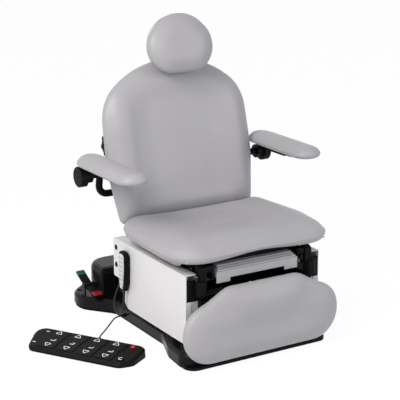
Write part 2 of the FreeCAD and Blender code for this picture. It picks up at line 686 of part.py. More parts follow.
def seat_rail():
    rail = box(SEAT_RAIL_IN, SEAT_RAIL_OUT, LEG_Y - 14, BACK_Y, SEAT_RAIL_LOW, SEAT_RAIL_HIGH)
    nose = rod_x(SEAT_RAIL_IN, SEAT_RAIL_OUT, LEG_Y, LEG_Z, LEG_PIN_R + 8)
    ear = box(SEAT_RAIL_IN, SEAT_RAIL_OUT, BACK_Y - 20, BACK_Y + 20, SEAT_RAIL_LOW, BACK_Z)
    ear = ear.fuse(rod_x(SEAT_RAIL_IN, SEAT_RAIL_OUT, BACK_Y, BACK_Z, 20.0))
    hanger = box(SEAT_RAIL_OUT - 1, SEAT_RAIL_OUT + 30, TILT_Y - 18, TILT_Y + 18, TILT_Z, SEAT_RAIL_HIGH - 4)
    hanger = hanger.fuse(rod_x(SEAT_RAIL_OUT - 1, SEAT_RAIL_OUT + 30, TILT_Y, TILT_Z, 18.0))
    pin = rod_x(SEAT_RAIL_OUT + 20, RAIL_IN + 14, TILT_Y, TILT_Z, TILT_PIN_R)
    web = box(SEAT_RAIL_IN - 6, SEAT_RAIL_IN + 1, TRAY_FRONT + 8, TRAY_BACK + 15, RUNNER_LOW, SEAT_RAIL_HIGH)
    runner = box(TRAY_HALF - 12, SEAT_RAIL_IN - 5, TRAY_FRONT + 8, TRAY_BACK + 15,
                 RUNNER_LOW, RUNNER_LOW + TRAY_RUNNER)
    rail = joined([rail, nose, ear, hanger, pin, web, runner])
    rail = rail.cut(rod_x(SEAT_RAIL_IN - 1, SEAT_RAIL_OUT + 1, LEG_Y, LEG_Z, LEG_PIN_R + RUN))
    return rail.cut(rod_x(SEAT_RAIL_IN - 1, SEAT_RAIL_OUT + 1, BACK_Y, BACK_Z, BACK_PIN_R + RUN))


def tilt_lugs():
    half_high = TILT_EYE_PIN_R + TILT_SLOT_PLAY
    lugs = []
    for x0 in (TILT_DRIVE_X - 11.5, TILT_DRIVE_X + 5.5):
        plate = box(x0, x0 + 6, TILT_DRIVE_Y - TILT_SLIP - 22, TILT_DRIVE_Y + 22,
                    TILT_LUG_LOW, SEAT_RAIL_LOW + 1)
        slot = box(x0 - 1, x0 + 7, TILT_DRIVE_Y - TILT_SLIP - 8, TILT_DRIVE_Y + 8,
                   TILT_EYE_Z - half_high, TILT_EYE_Z + half_high)
        lugs.append(plate.cut(slot))
    return lugs


def seat_frame():
    pieces = both_sides(seat_rail()) + tilt_lugs()
    for y0 in (TRAY_FRONT + 50.0, BACK_DRIVE_REAR):
        pieces.append(box(-SEAT_RAIL_IN - 1, SEAT_RAIL_IN + 1, y0, y0 + 30, SEAT_RAIL_LOW, SEAT_RAIL_HIGH))
    saddle = box(BACK_DRIVE_X - 14, BACK_DRIVE_X + 14, BACK_DRIVE_REAR, BACK_DRIVE_REAR + 30,
                 BACK_ROD_Z, SEAT_RAIL_LOW + 1)
    barrel = rod_y(BACK_DRIVE_X, BACK_DRIVE_REAR - 1, BACK_DRIVE_REAR + 31, BACK_ROD_Z, BACK_DRIVE_R)
    pieces.append(saddle.cut(barrel))
    block = box(SEAT_RAIL_OUT - 3, LEG_DRIVE_X + 10, LEG_DRIVE_REAR, LEG_DRIVE_REAR + 30,
                LEG_ROD_Z, SEAT_RAIL_LOW + 8)
    drum = rod_y(LEG_DRIVE_X, LEG_DRIVE_REAR - 1, LEG_DRIVE_REAR + 31, LEG_ROD_Z, LEG_DRIVE_R)
    pieces.append(block.cut(drum))
    return joined(pieces)


def seat_board():
    return box(-SKIRT_HALF + 9, SKIRT_HALF - 9, SEAT_FRONT + 75, SEAT_REAR - 6, SEAT_RAIL_HIGH, BOARD_TOP)


def seat_skirt():
    corners = symmetric([(SKIRT_HALF, SKIRT_FRONT, 20.0), (SKIRT_HALF, SEAT_REAR, 20.0)])
    band = slab(corners, SKIRT_LOW, BOARD_TOP)
    inner = box(-SKIRT_HALF + 9, SKIRT_HALF - 9, SKIRT_FRONT - 1, SEAT_REAR + 1, SKIRT_LOW - 1, BOARD_TOP + 1)
    return band.cut(inner)


def seat_cushion():
    corners = symmetric([
        (SEAT_HALF - 12, SEAT_FRONT, 120.0), (SEAT_HALF, SEAT_FRONT + 205, 600.0),
        (SEAT_HALF - 25, SEAT_REAR, 70.0),
    ])
    low = BOARD_TOP + SOFT_GAP
    levels = [(low, 60.0), (low + 10, 26.0), (low + 22, 7.0), (low + 38, 0.0),
              (SEAT_CROWN - 13, 16.0), (SEAT_CROWN - 3, 48.0), (SEAT_CROWN, 80.0)]
    return cushion(corners, levels)


# Treatment tray
def tray():
    half = TRAY_HALF
    pan = box(-half, half, TRAY_FRONT, TRAY_BACK, TRAY_LOW, TRAY_TOP)
    pan = pan.cut(box(-half + TRAY_WALL, half - TRAY_WALL, TRAY_FRONT + TRAY_WALL, TRAY_BACK - TRAY_WALL,
                      TRAY_LOW + TRAY_WALL, TRAY_TOP + 1))
    face = box(-half - 5, half + 5, TRAY_FRONT - 5, TRAY_FRONT, TRAY_FACE_LOW, TRAY_TOP)
    face = face.cut(box(-half + 55, half - 55, TRAY_FRONT - 6, TRAY_FRONT + 1,
                        TRAY_FACE_LOW - 1, TRAY_LOW - 2))
    return joined([pan, face])


# Back drive
BACK_DRIVE_REAR = TRAY_BACK + 22.0
BACK_HORN_Y = BACK_Y + BACK_HORN * math.sin(math.radians(BACK_HORN_LEAN))
BACK_HORN_Z = BACK_Z - BACK_HORN * math.cos(math.radians(BACK_HORN_LEAN))
BACK_ROD_Z = BACK_Z - BACK_HORN * (1 + math.cos(math.radians(BACK_HORN_LEAN))) / 2


def back_drive():
    barrel = rod_y(BACK_DRIVE_X, BACK_DRIVE_REAR, BACK_DRIVE_FRONT, BACK_ROD_Z, BACK_DRIVE_R)
    bore = rod_y(BACK_DRIVE_X, BACK_DRIVE_REAR + 10, BACK_DRIVE_FRONT + 1, BACK_ROD_Z, BACK_ROD_R + RUN)
    return barrel.cut(bore)


def slotted_rod(x, back_end, tip_y, z, rod_r, pin_r, swing, toward):
    near = tip_y - toward * 18
    far = tip_y + toward * 13
    shaft = rod_y(x, min(back_end, near + toward), max(back_end, near + toward), z, rod_r)
    half = pin_r + 1.8
    eye = box(x - 5, x + 5, min(near, far), max(near, far), z - half - swing - 5, z + half + swing + 5)
    slot = box(x - 6, x + 6, tip_y - half, tip_y + half, z - half - swing, z + half + swing)
    return joined([shaft, eye]).cut(slot)


def back_rod():
    swing = BACK_ROD_Z - BACK_Z + BACK_HORN
    return slotted_rod(BACK_DRIVE_X, BACK_DRIVE_REAR + 90, BACK_HORN_Y, BACK_ROD_Z, BACK_ROD_R,
                       BACK_HORN_PIN_R, swing, 1)


# Back frame, shell and cushion, built upright about the hinge and then leaned
BACK_CORNERS = symmetric([
    (BACK_HALF - 33, BACK_LOW, 16.0), (BACK_HALF, BACK_LOW + 223, 900.0),
    (BACK_HALF - 4, BACK_HIGH - 141, 190.0), (140.0, BACK_HIGH, 425.0),
])
SHELL_REAR = BACK_REAR + BACK_SHELL
FRAME_REACH = SHELL_REAR - COVER_WALL
UPRIGHT_NEAR = FRAME_REACH - 30.0
TOP_BAR = BACK_HIGH - 175.0


def horn_plates(length, lean, pin_r, x):
    plates = []
    for x0 in (x - 14, x + 6):
        plate = box(x0, x0 + 8, -10, 10, -length, 0)
        plates.append(plate.fuse(rod_x(x0, x0 + 8, 0, -length, 10.0)))
    plates.append(rod_x(x - 14, x + 14, 0, -length, pin_r))
    horn = joined(plates)
    horn.rotate(V(0, 0, 0), V(1, 0, 0), lean)
    return horn


def back_frame():
    side = [box(BACK_PLATE_IN, BACK_PLATE_OUT, UPRIGHT_NEAR, FRAME_REACH, 40, TOP_BAR + 40)]
    bend = [(-16, -8), (10, -16), (FRAME_REACH, 45), (FRAME_REACH, 70), (UPRIGHT_NEAR, 62),
            (UPRIGHT_NEAR, 52), (4, 24), (-16, -8)]
    knee = Part.makePolygon([V(BACK_PLATE_IN, y, u) for y, u in bend])
    side.append(Part.Face(knee).extrude(V(BACK_PLATE_OUT - BACK_PLATE_IN, 0, 0)))
    side.append(rod_x(BACK_PLATE_IN, BACK_PLATE_OUT, 0, 0, 20.0))
    side.append(rod_x(BACK_PLATE_IN, SEAT_RAIL_OUT, 0, 0, BACK_PIN_R))
    pieces = []
    for part in side:
        pieces += both_sides(part)
    pieces.append(rod_x(-BACK_PLATE_IN - 1, BACK_PLATE_IN + 1, 0, 0, 15.0))
    pieces.append(horn_plates(BACK_HORN, BACK_HORN_LEAN + BACK_LEAN, BACK_HORN_PIN_R, BACK_DRIVE_X))
    pieces.append(box(-BACK_PLATE_IN - 1, BACK_PLATE_IN + 1, UPRIGHT_NEAR, FRAME_REACH, 130, 170))
    bar = box(-BACK_PLATE_IN - 1, BACK_PLATE_IN + 1, UPRIGHT_NEAR, FRAME_REACH, TOP_BAR, TOP_BAR + 40)
    half_x = POST_WIDE / 2 + RUN
    half_y = POST_DEEP / 2 + RUN
    slot = box(-half_x, half_x, POST_PLACE - half_y, POST_PLACE + half_y, TOP_BAR - 1, TOP_BAR + 41)
    pieces.append(bar.cut(slot))
    return leaned(joined(pieces))


def back_shell():
    shell = slab(BACK_CORNERS, 0, BACK_SHELL, 14.0, BACK_TUCK)
    shell = shell.cut(slab(BACK_CORNERS, -1, BACK_SHELL - COVER_WALL, 14.0, BACK_TUCK + COVER_WALL))
    shell.rotate(V(0, 0, 0), V(0, 1, 0), 180)
    shell.translate(V(0, 0, -BACK_REAR))
    shell = stood_up(shell)
    plates = box(BACK_PLATE_IN - 3, BACK_PLATE_OUT + 3, BACK_REAR - 1, SHELL_REAR + 1,
                 0, BACK_LOW + BACK_TUCK + 22)
    bracket = box(BACK_PLATE_OUT + 20, BACK_HALF, BACK_REAR - 1, FRAME_REACH,
                  BRACKET_UP - 20, BRACKET_UP + 20)
    for opening in both_sides(plates) + both_sides(bracket):
        shell = shell.cut(opening)
    shell = shell.cut(rod_y(KNOB_X, FRAME_REACH - 1, SHELL_REAR + 1, KNOB_UP, KNOB_PIN_R + RUN))
    post = box(-POST_WIDE / 2 - 3, POST_WIDE / 2 + 3, POST_PLACE - 9, POST_PLACE + 9, TOP_BAR + 45, BACK_HIGH)
    return leaned(shell.cut(post))


def back_knob():
    near = SHELL_REAR + 2.0
    grip = rod_y(KNOB_X, near, near + 26, KNOB_UP, KNOB_R - 4)
    lobes = []
    for i in range(12):
        turn = math.radians(30 * i)
        x = KNOB_X + (KNOB_R - 16) * math.cos(turn)
        lobes.append(rod_y(x, near + 4, near + 26, KNOB_UP + (KNOB_R - 16) * math.sin(turn), 16.0))
    pin = rod_y(KNOB_X, FRAME_REACH - 6, near + 1, KNOB_UP, KNOB_PIN_R)
    collar = rod_y(KNOB_X, FRAME_REACH - 6, FRAME_REACH - 2, KNOB_UP, KNOB_PIN_R + 4)
    return leaned(joined([grip, pin, collar] + lobes))


def back_cushion():
    rear = -BACK_REAR + SOFT_GAP
    levels = [(rear, 42.0), (rear + 12, 28.0), (rear + 28, 18.0), (rear + 46, 7.0), (BACK_FACE - 26, 0.0),
              (BACK_FACE - 13, 8.0), (BACK_FACE - 4, 32.0), (BACK_FACE, 75.0)]
    return leaned(stood_up(cushion(BACK_CORNERS, levels)))


# Armrests
HUB_FORE, HUB_UP = back_local(HUB_Y, HUB_Z)
BOSS_IN = HUB_IN - 28.0


def arm_bracket():
    mid = UPRIGHT_NEAR + 15.0
    route = [V(BACK_PLATE_OUT, mid, BRACKET_UP), V(BRACKET_X, mid, BRACKET_UP),
             V(BRACKET_X, HUB_FORE, HUB_UP), V(BOSS_IN + 4, HUB_FORE, HUB_UP)]
    pieces = [tube(route, BRACKET_R), rod_x(BOSS_IN, HUB_IN - SOFT_GAP, HUB_FORE, HUB_UP, 29.0)]
    pieces.append(rod_x(HUB_IN - 4, HUB_OUT - 4, HUB_FORE, HUB_UP, HUB_PIN_R))
    return leaned(joined(pieces))


def arm_plate():
    low = ARM_PAD_LOW - ARM_PLATE
    hub = rod_x(HUB_IN, HUB_OUT, HUB_Y, HUB_Z, HUB_R)
    clear = HUB_Y - 36
    corners = [(ARM_PAD_IN + 32, clear - 255, 14.0), (HUB_IN + 2, clear - 255, 14.0),
               (HUB_IN + 12, clear - 160, 30.0), (HUB_IN + 12, clear, 4.0), (ARM_PAD_IN + 32, clear, 14.0)]
    plate = slab(corners, low, ARM_PAD_LOW)
    neck = box(HUB_IN, HUB_IN + 12, clear - 8, HUB_Y, low, ARM_PAD_LOW)
    step = box(ARM_PAD_IN + 44, HUB_IN - 6, clear - 190, clear - 60, low - 10, low + 1)
    whole = joined([hub, plate, neck, step])
    return whole.cut(rod_x(HUB_IN - 1, HUB_OUT - 4 + SOFT_GAP, HUB_Y, HUB_Z, HUB_PIN_R + RUN))


def arm_pad():
    corners = [
        (ARM_PAD_IN - 9, ARM_PAD_TIP, 58.0), (ARM_PAD_OUT - 7, ARM_PAD_TIP, 68.0),
        (ARM_PAD_OUT, ARM_PAD_REAR, 64.0), (ARM_PAD_IN, ARM_PAD_REAR, 56.0),
    ]
    low = ARM_PAD_LOW + SOFT_GAP
    levels = [(low, 11.0), (low + 8, 2.5), (low + 17, 0.0), (low + 27, 3.0), (ARM_PAD_TOP - 7, 11.0),
              (ARM_PAD_TOP, 24.0)]
    return cushion(corners, levels)


# Headrest
def headrest_post():
    half_x = POST_WIDE / 2
    near = POST_PLACE - POST_DEEP / 2
    far = POST_PLACE + POST_DEEP / 2
    bar = box(-half_x, half_x, near, far, TOP_BAR - 90, HEAD_HINGE_UP + 12)
    arm = box(-half_x, half_x, -HEAD_HINGE_FORE, far, HEAD_HINGE_UP - 12, HEAD_HINGE_UP + 12)
    barrel = rod_x(-half_x, half_x, -HEAD_HINGE_FORE, HEAD_HINGE_UP, 12.0)
    bore = rod_x(-half_x - 1, half_x + 1, -HEAD_HINGE_FORE, HEAD_HINGE_UP, 6.0 + RUN)
    return leaned(joined([bar, arm, barrel]).cut(bore))


def headrest_bracket():
    plate_front = -HEAD_REAR
    plate = box(-70, 70, plate_front, plate_front + 8, HEAD_LOW + 55, HEAD_HIGH - 60)
    pieces = [plate, rod_x(-26, 26, -HEAD_HINGE_FORE, HEAD_HINGE_UP, 6.0)]
    for x0 in (-POST_WIDE / 2 - 9, POST_WIDE / 2 + 1):
        pieces.append(box(x0, x0 + 8, plate_front + 7, -HEAD_HINGE_FORE,
                          HEAD_HINGE_UP - 12, HEAD_HINGE_UP + 12))
        pieces.append(rod_x(x0, x0 + 8, -HEAD_HINGE_FORE, HEAD_HINGE_UP, 12.0))
    return leaned(joined(pieces))


def headrest_cushion():
    corners = symmetric([
        (HEAD_HALF - 63, HEAD_LOW, 80.0), (HEAD_HALF, HEAD_LOW + 65, 105.0),
        (HEAD_HALF - 9, HEAD_HIGH - 84, 100.0), (HEAD_HALF - 86, HEAD_HIGH, 140.0),
    ])
    rear = HEAD_REAR + SOFT_GAP
    levels = [(rear, 40.0), (rear + 12, 24.0), (rear + 28, 12.0), (HEAD_FACE - 45, 0.0),
              (HEAD_FACE - 30, 3.0), (HEAD_FACE - 18, 20.0), (HEAD_FACE - 5, 44.0), (HEAD_FACE, 62.0)]
    return leaned(stood_up(cushion(corners, levels)))


# Leg section
LEG_DRIVE_FRONT = LEG_DRIVE_REAR - 110.0
LEG_HORN_LEAN = LEG_RANGE / 2
LEG_HORN_Y = LEG_Y + LEG_HORN * math.sin(math.radians(LEG_HORN_LEAN))
LEG_HORN_Z = LEG_Z - LEG_HORN * math.cos(math.radians(LEG_HORN_LEAN))
LEG_ROD_Z = (LEG_HORN_Z + LEG_Z - LEG_HORN) / 2
COLUMN_LOW = LEG_SHOULDER + 10.0


def leg_arm():
    arm = box(LEG_ARM_IN, LEG_ARM_OUT, LEG_Y - 20, LEG_Y - 3, COLUMN_LOW - 40, LEG_Z)
    eye = rod_x(LEG_ARM_IN, LEG_ARM_OUT, LEG_Y, LEG_Z, 20.0)
    pin = rod_x(SEAT_RAIL_IN, LEG_ARM_IN + 1, LEG_Y, LEG_Z, LEG_PIN_R)
    corners = [(LEG_ARM_IN + 4, LEG_COLUMN_FRONT, 14.0), (LEG_ARM_OUT + 17, LEG_COLUMN_FRONT, 14.0),
               (LEG_ARM_OUT + 17, LEG_Y - 4, 6.0), (LEG_ARM_IN + 4, LEG_Y - 4, 6.0)]
    column = slab(corners, COLUMN_LOW + 22, LEG_COLUMN_HIGH, 5.0)
    return joined([arm, eye, pin, column])


def leg_horn():
    plates = []
    for x0 in (LEG_DRIVE_X - 12, LEG_DRIVE_X + 6):
        plate = box(x0, x0 + 6, -8, 8, -LEG_HORN, 0)
        plates.append(plate.fuse(rod_x(x0, x0 + 6, 0, -LEG_HORN, 8.0)))
    plates.append(rod_x(LEG_DRIVE_X - 12, LEG_DRIVE_X + 12, 0, -LEG_HORN, LEG_HORN_PIN_R))
    horn = joined(plates)
    horn.rotate(V(0, 0, 0), V(1, 0, 0), LEG_HORN_LEAN)
    horn.translate(V(0, LEG_Y, LEG_Z))
    return horn


def leg_frame():
    pieces = both_sides(leg_arm()) + [leg_horn()]
    board_rear = LEG_BACK + SOFT_GAP + LEG_BOARD
    pieces.append(box(-LEG_ARM_OUT, LEG_ARM_OUT, board_rear - 1, LEG_Y - 8, COLUMN_LOW - 45, COLUMN_LOW + 1))
    pieces.append(box(-LEG_ARM_OUT, LEG_ARM_OUT, board_rear - LEG_BOARD, board_rear,
                      COVER_TOP + 20, COLUMN_LOW - 14))
    return joined(pieces)


def leg_cushion():
    corners = symmetric([
        (LEG_HALF, LEG_LOW, 118.0), (LEG_HALF, LEG_SHOULDER, 108.0),
        (225.0, LEG_SHOULDER + 10, 50.0), (170.0, LEG_HIGH, 60.0),
    ])
    front = -LEG_FRONT
    levels = [(-LEG_BACK, 16.0), (-LEG_BACK + 9, 3.0), (-LEG_BACK + 26, 0.0), (front - 15, 10.0),
              (front - 5, 32.0), (front, 62.0)]
    return stood_up(cushion(corners, levels))


# Wheels, carriages and pedal
def wheel_set(y, wheel_x):
    pieces = [rod_x(-wheel_x - 16, wheel_x + 16, y, WHEEL_Z, AXLE_R)]
    for x0 in (-wheel_x - WHEEL_WIDE / 2, wheel_x - WHEEL_WIDE / 2):
        pieces.append(rod_x(x0, x0 + WHEEL_WIDE, y, WHEEL_Z, WHEEL_R))
    return joined(pieces)


def carriage(y, wheel_x):
    half = wheel_x - WHEEL_WIDE / 2 - 4
    pieces = [box(-half, half, y - 14, y + 14, CARRIAGE_LOW, CARRIAGE_HIGH)]
    pieces += both_sides(box(half - 14, half, y - 10, y + 10, WHEEL_Z - 9, CARRIAGE_LOW + 1))
    whole = joined(pieces).cut(rod_x(-half - 1, half + 1, y, WHEEL_Z, AXLE_R + RUN))
    for guide in both_sides(rod_z(GUIDE_X, y, 0, COVER_TOP, GUIDE_R + RUN)):
        whole = whole.cut(guide)
    return whole


def pedal_wing(rise):
    half = PEDAL_THICK / 2
    start = PEDAL_REACH - PEDAL_PAD
    wing = box(PEDAL_X - PEDAL_HALF, PEDAL_X + PEDAL_HALF, 0, PEDAL_REACH, -half, half)
    wing = wing.cut(box(PEDAL_X - PEDAL_HALF - 1, PEDAL_X + PEDAL_HALF + 1, start, PEDAL_REACH + 1,
                        half - PEDAL_LAYER, half + 1))
    wing.rotate(V(0, 0, 0), V(1, 0, 0), rise)
    return wing


def wheel_pedal():
    green = pedal_wing(PEDAL_GREEN_RISE)
    red = pedal_wing(PEDAL_RED_DROP)
    red.rotate(V(PEDAL_X, 0, 0), V(0, 0, 1), 180)
    eye = rod_x(PEDAL_X - PEDAL_HALF, PEDAL_X + PEDAL_HALF, 0, 0, 11.0)
    pin = rod_x(PEDAL_X - PEDAL_HALF - 9, PEDAL_X + PEDAL_HALF + 9, 0, 0, PEDAL_PIN_R)
    whole = joined([green, red, eye, pin])
    whole.translate(V(0, PEDAL_Y, PEDAL_Z))
    return whole


def pedal_pad(rise, back):
    half = PEDAL_THICK / 2
    pad = box(PEDAL_X - PEDAL_HALF, PEDAL_X + PEDAL_HALF, PEDAL_REACH - PEDAL_PAD, PEDAL_REACH,
              half - PEDAL_LAYER, half + 1)
    pad.rotate(V(0, 0, 0), V(1, 0, 0), rise)
    if back:
        pad.rotate(V(PEDAL_X, 0, 0), V(0, 0, 1), 180)
    pad.translate(V(0, PEDAL_Y, PEDAL_Z))
    return pad


# Foot control, sloping down towards the foot
def foot_placed(shape):
    placed = shape.copy()
    placed.rotate(V(0, 0, 0), V(1, 0, 0), FOOT_SLOPE)
    placed.rotate(V(0, 0, 0), V(0, 0, 1), FOOT_TURN)
    placed.translate(V(FOOT_X, FOOT_Y, -FOOT_SINK))
    return placed


def foot_point(x, y, z):
    turn = math.radians(FOOT_TURN)
    east = FOOT_X + x * math.cos(turn) - y * math.sin(turn)
    return V(east, FOOT_Y + x * math.sin(turn) + y * math.cos(turn), z)


ROCKER_PLACES = [ROCKER_START - FOOT_LONG / 2 + i * ROCKER_PITCH for i in range(4)]
BUTTON_X = FOOT_LONG / 2 - BUTTON_INSET
PORT_LEAN = math.radians(FOOT_TURN + FOOT_PORT_TURN)
PORT_AXIS = V(-math.sin(PORT_LEAN), math.cos(PORT_LEAN), 0.0)
PORT_BASE = foot_point(FOOT_PORT_X, FOOT_WIDE / 2, FOOT_PORT_Z)


def foot_case():
    half_x = FOOT_LONG / 2
    half_y = FOOT_WIDE / 2
    corners = [(-half_x + 12, -half_y, 44.0), (half_x - 40, -half_y, 36.0), (half_x, -half_y + 44, 30.0),
               (half_x, half_y, 34.0), (-half_x - FOOT_SLANT, half_y, 44.0)]
    case = slab(corners, -FOOT_HIGH, FOOT_HIGH, 9.0)
    for x in ROCKER_PLACES:
        half = ROCKER_WIDE / 2 + 1.0
        pocket = box(x - half, x + half, -ROCKER_LONG / 2 - 1, ROCKER_LONG / 2 + 1, POCKET_LOW, FOOT_HIGH + 1)
        ridge = box(x - half, x + half, -1.5, 1.5, POCKET_LOW - 1, ROCKER_LOW - 1.5)
        pivot = rod_x(x - half, x + half, 0, ROCKER_LOW, ROCKER_PIN_R)
        case = case.cut(pocket).fuse(ridge.fuse(pivot))
    for y, radius in ((HOME_Y, HOME_R), (STOP_Y, STOP_R)):
        case = case.cut(rod_z(BUTTON_X, y, POCKET_LOW, FOOT_HIGH + 1, radius + 0.5))
    port = Part.makeCylinder(CORD_R + 3, FOOT_PORT_LONG + 12, PORT_BASE - PORT_AXIS * 12, PORT_AXIS)
    case = foot_placed(case).fuse(port).removeSplitter()
    below = box(-FOOT_LONG, FOOT_LONG, -FOOT_LONG, FOOT_LONG, -FOOT_LONG, 0)
    below.translate(V(FOOT_X, FOOT_Y, 0))
    return case.cut(below)


def rocker(x):
    half = ROCKER_WIDE / 2
    corners = [(x - half, -ROCKER_LONG / 2, 8.0), (x + half, -ROCKER_LONG / 2, 8.0),
               (x + half, ROCKER_LONG / 2, 8.0), (x - half, ROCKER_LONG / 2, 8.0)]
    plate = slab(corners, ROCKER_LOW, ROCKER_HIGH, 2.0)
    groove = rod_x(x - half - 1, x + half + 1, 0, ROCKER_LOW, ROCKER_PIN_R + RUN)
    return foot_placed(plate.cut(groove))


def push_button(y, radius):
    return foot_placed(rod_z(BUTTON_X, y, POCKET_LOW + 4, ROCKER_HIGH, radius))


def foot_gland():
    nut = rod_x(FOOT_GLAND.x - 6, FOOT_GLAND.x, FOOT_GLAND.y, FOOT_GLAND.z, 8.0)
    cone_end = V(FOOT_GLAND.x - 6, FOOT_GLAND.y, FOOT_GLAND.z)
    return nut.fuse(Part.makeCone(6.5, CORD_R + 0.8, GLAND_LONG - 6, cone_end, V(-1, 0, 0)))


def foot_cord():
    start = FOOT_GLAND - V(GLAND_LONG, 0, 0)
    end = PORT_BASE + PORT_AXIS * FOOT_PORT_LONG
    route = [start, start - V(18, 0, 0), V(-329, 278, 28.5), V(-364, 242.5, 26), V(-400, 206, 24.8),
             V(-435, 170.5, 25), end + PORT_AXIS * 20, end]
    return tube(route, CORD_R)


# Hand control
HAND_BACK = -BODY_HALF - HOLDER_DEEP
HAND_FRONT = HAND_BACK - HAND_DEEP
HAND_GLAND = V(15.0 - RAIL_OUT, FRAME_REAR - 13.0, RAIL_LOW - 12.0)


def hand_holder():
    plate = box(HAND_BACK, -BODY_HALF, HAND_Y - 20, HAND_Y + 20, HAND_LOW + 30, HAND_HIGH - 20)
    return plate


def hand_control():
    knee = HAND_HIGH - 70.0
    corners = [(-HAND_TAIL, HAND_LOW, 12.0), (HAND_TAIL, HAND_LOW, 12.0), (HAND_HALF, knee, 120.0),
               (HAND_HALF, HAND_HIGH, 20.0), (-HAND_HALF, HAND_HIGH, 20.0), (-HAND_HALF, knee, 120.0)]
    body = slab(corners, 0.0, HAND_DEEP, 5.0)
    return hand_turned(body, HAND_BACK)


def hand_turned(shape, back):
    placed = stood_up(shape)
    placed.rotate(V(0, 0, 0), V(0, 0, 1), -90)
    placed.translate(V(back, HAND_Y, 0))
    return placed


def keypad():
    high = HAND_HIGH - 9.0
    corners = [(6 - HAND_TAIL, HAND_LOW + 12, 8.0), (HAND_TAIL - 6, HAND_LOW + 12, 8.0),
               (HAND_HALF - 6, HAND_HIGH - 70, 100.0), (HAND_HALF - 6, high, 14.0),
               (6 - HAND_HALF, high, 14.0), (6 - HAND_HALF, HAND_HIGH - 70, 100.0)]
    return hand_turned(slab(corners, 0.0, KEYPAD), HAND_FRONT)


def hand_gland():
    return rod_z(HAND_GLAND.x, HAND_GLAND.y, HAND_GLAND.z, RAIL_LOW, 6.0)


def hand_cord():
    top = V(HAND_BACK - HAND_DEEP / 2, HAND_Y, HAND_LOW)
    route = [top, top - V(0, 0, 28), V(-329, 191, 122), V(-329, 196.5, 95.5), V(-329, 212, 73.5),
             V(-329, 236, 63), V(-328, 261, 67), V(-325, 280, 84), V(-319.5, 288.5, 108), V(-311, 290.5, 133),
             V(-301, 290, 156), HAND_GLAND - V(0, 0, 27), HAND_GLAND]
    return tube(route, HAND_CORD_R)


def leg_drive():
    barrel = rod_y(LEG_DRIVE_X, LEG_DRIVE_FRONT, LEG_DRIVE_REAR + 30, LEG_ROD_Z, LEG_DRIVE_R)
    bore = rod_y(LEG_DRIVE_X, LEG_DRIVE_FRONT - 1, LEG_DRIVE_REAR + 20, LEG_ROD_Z, LEG_ROD_R + RUN)
    return barrel.cut(bore)


def leg_rod():
    swing = (LEG_HORN_Z - LEG_Z + LEG_HORN) / 2
    return slotted_rod(LEG_DRIVE_X, LEG_DRIVE_REAR, LEG_HORN_Y, LEG_ROD_Z, LEG_ROD_R,
                       LEG_HORN_PIN_R, swing, -1)


save("base_plate", base_plate())
save("base_cover", base_cover())
save("floor_pads", *floor_pads())
save("rear_housing", rear_housing())
save("mains_inlet", mains_inlet())
save("lift_shaft", lift_shaft())
save("lift_drive", lift_drive())
save("lift_rod", lift_rod())
save("lift_arms", lift_arms())
save("level_links", *both_sides(level_link()))
save("chassis", chassis())
save("side_panels", *both_sides(side_panel()))
save("front_panel", front_panel())
save("rear_panel", rear_panel())
save("front_bezel", front_bezel())
save("tilt_drive", tilt_drive())
save("tilt_rod", tilt_rod())
save("seat_frame", seat_frame())
save("seat_board", seat_board())
save("seat_skirt", seat_skirt())
save("seat_cushion", seat_cushion())
save("tray", tray())
save("back_drive", back_drive())
save("back_rod", back_rod())
save("back_frame", back_frame())
save("back_shell", back_shell())
save("back_cushion", back_cushion())
save("back_knob", back_knob())
save("arm_brackets", *both_sides(arm_bracket()))
save("arm_plate_left", arm_plate())
save("arm_plate_right", flipped(arm_plate()))
save("arm_pad_left", arm_pad())
save("arm_pad_right", flipped(arm_pad()))
save("headrest_post", headrest_post())
save("headrest_bracket", headrest_bracket())
save("headrest_cushion", headrest_cushion())
save("leg_drive", leg_drive())
save("leg_rod", leg_rod())
save("leg_frame", leg_frame())
save("leg_cushion", leg_cushion())
save("front_carriage", carriage(*FRONT_AXLE))
save("rear_carriage", carriage(*REAR_AXLE))
save("front_wheels", wheel_set(*FRONT_AXLE))
save("rear_wheels", wheel_set(*REAR_AXLE))
save("wheel_pedal", wheel_pedal())
save("pedal_pad_green", pedal_pad(PEDAL_GREEN_RISE, False))
save("pedal_pad_red", pedal_pad(PEDAL_RED_DROP, True))
save("foot_case", foot_case())
for number, place in enumerate(ROCKER_PLACES, 1):
    save("foot_rocker_%d" % number, rocker(place))
save("foot_button_stop", push_button(STOP_Y, STOP_R))
save("foot_button_home", push_button(HOME_Y, HOME_R))
save("foot_gland", foot_gland())
save("foot_cord", foot_cord())
save("hand_holder", hand_holder(), hand_gland())
save("hand_control", hand_control())
save("hand_keypad", keypad())
save("hand_cord", hand_cord())
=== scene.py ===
import json
import math
from collections import namedtuple
import bmesh
import bpy
import numpy as np
from mathutils import Matrix, Vector


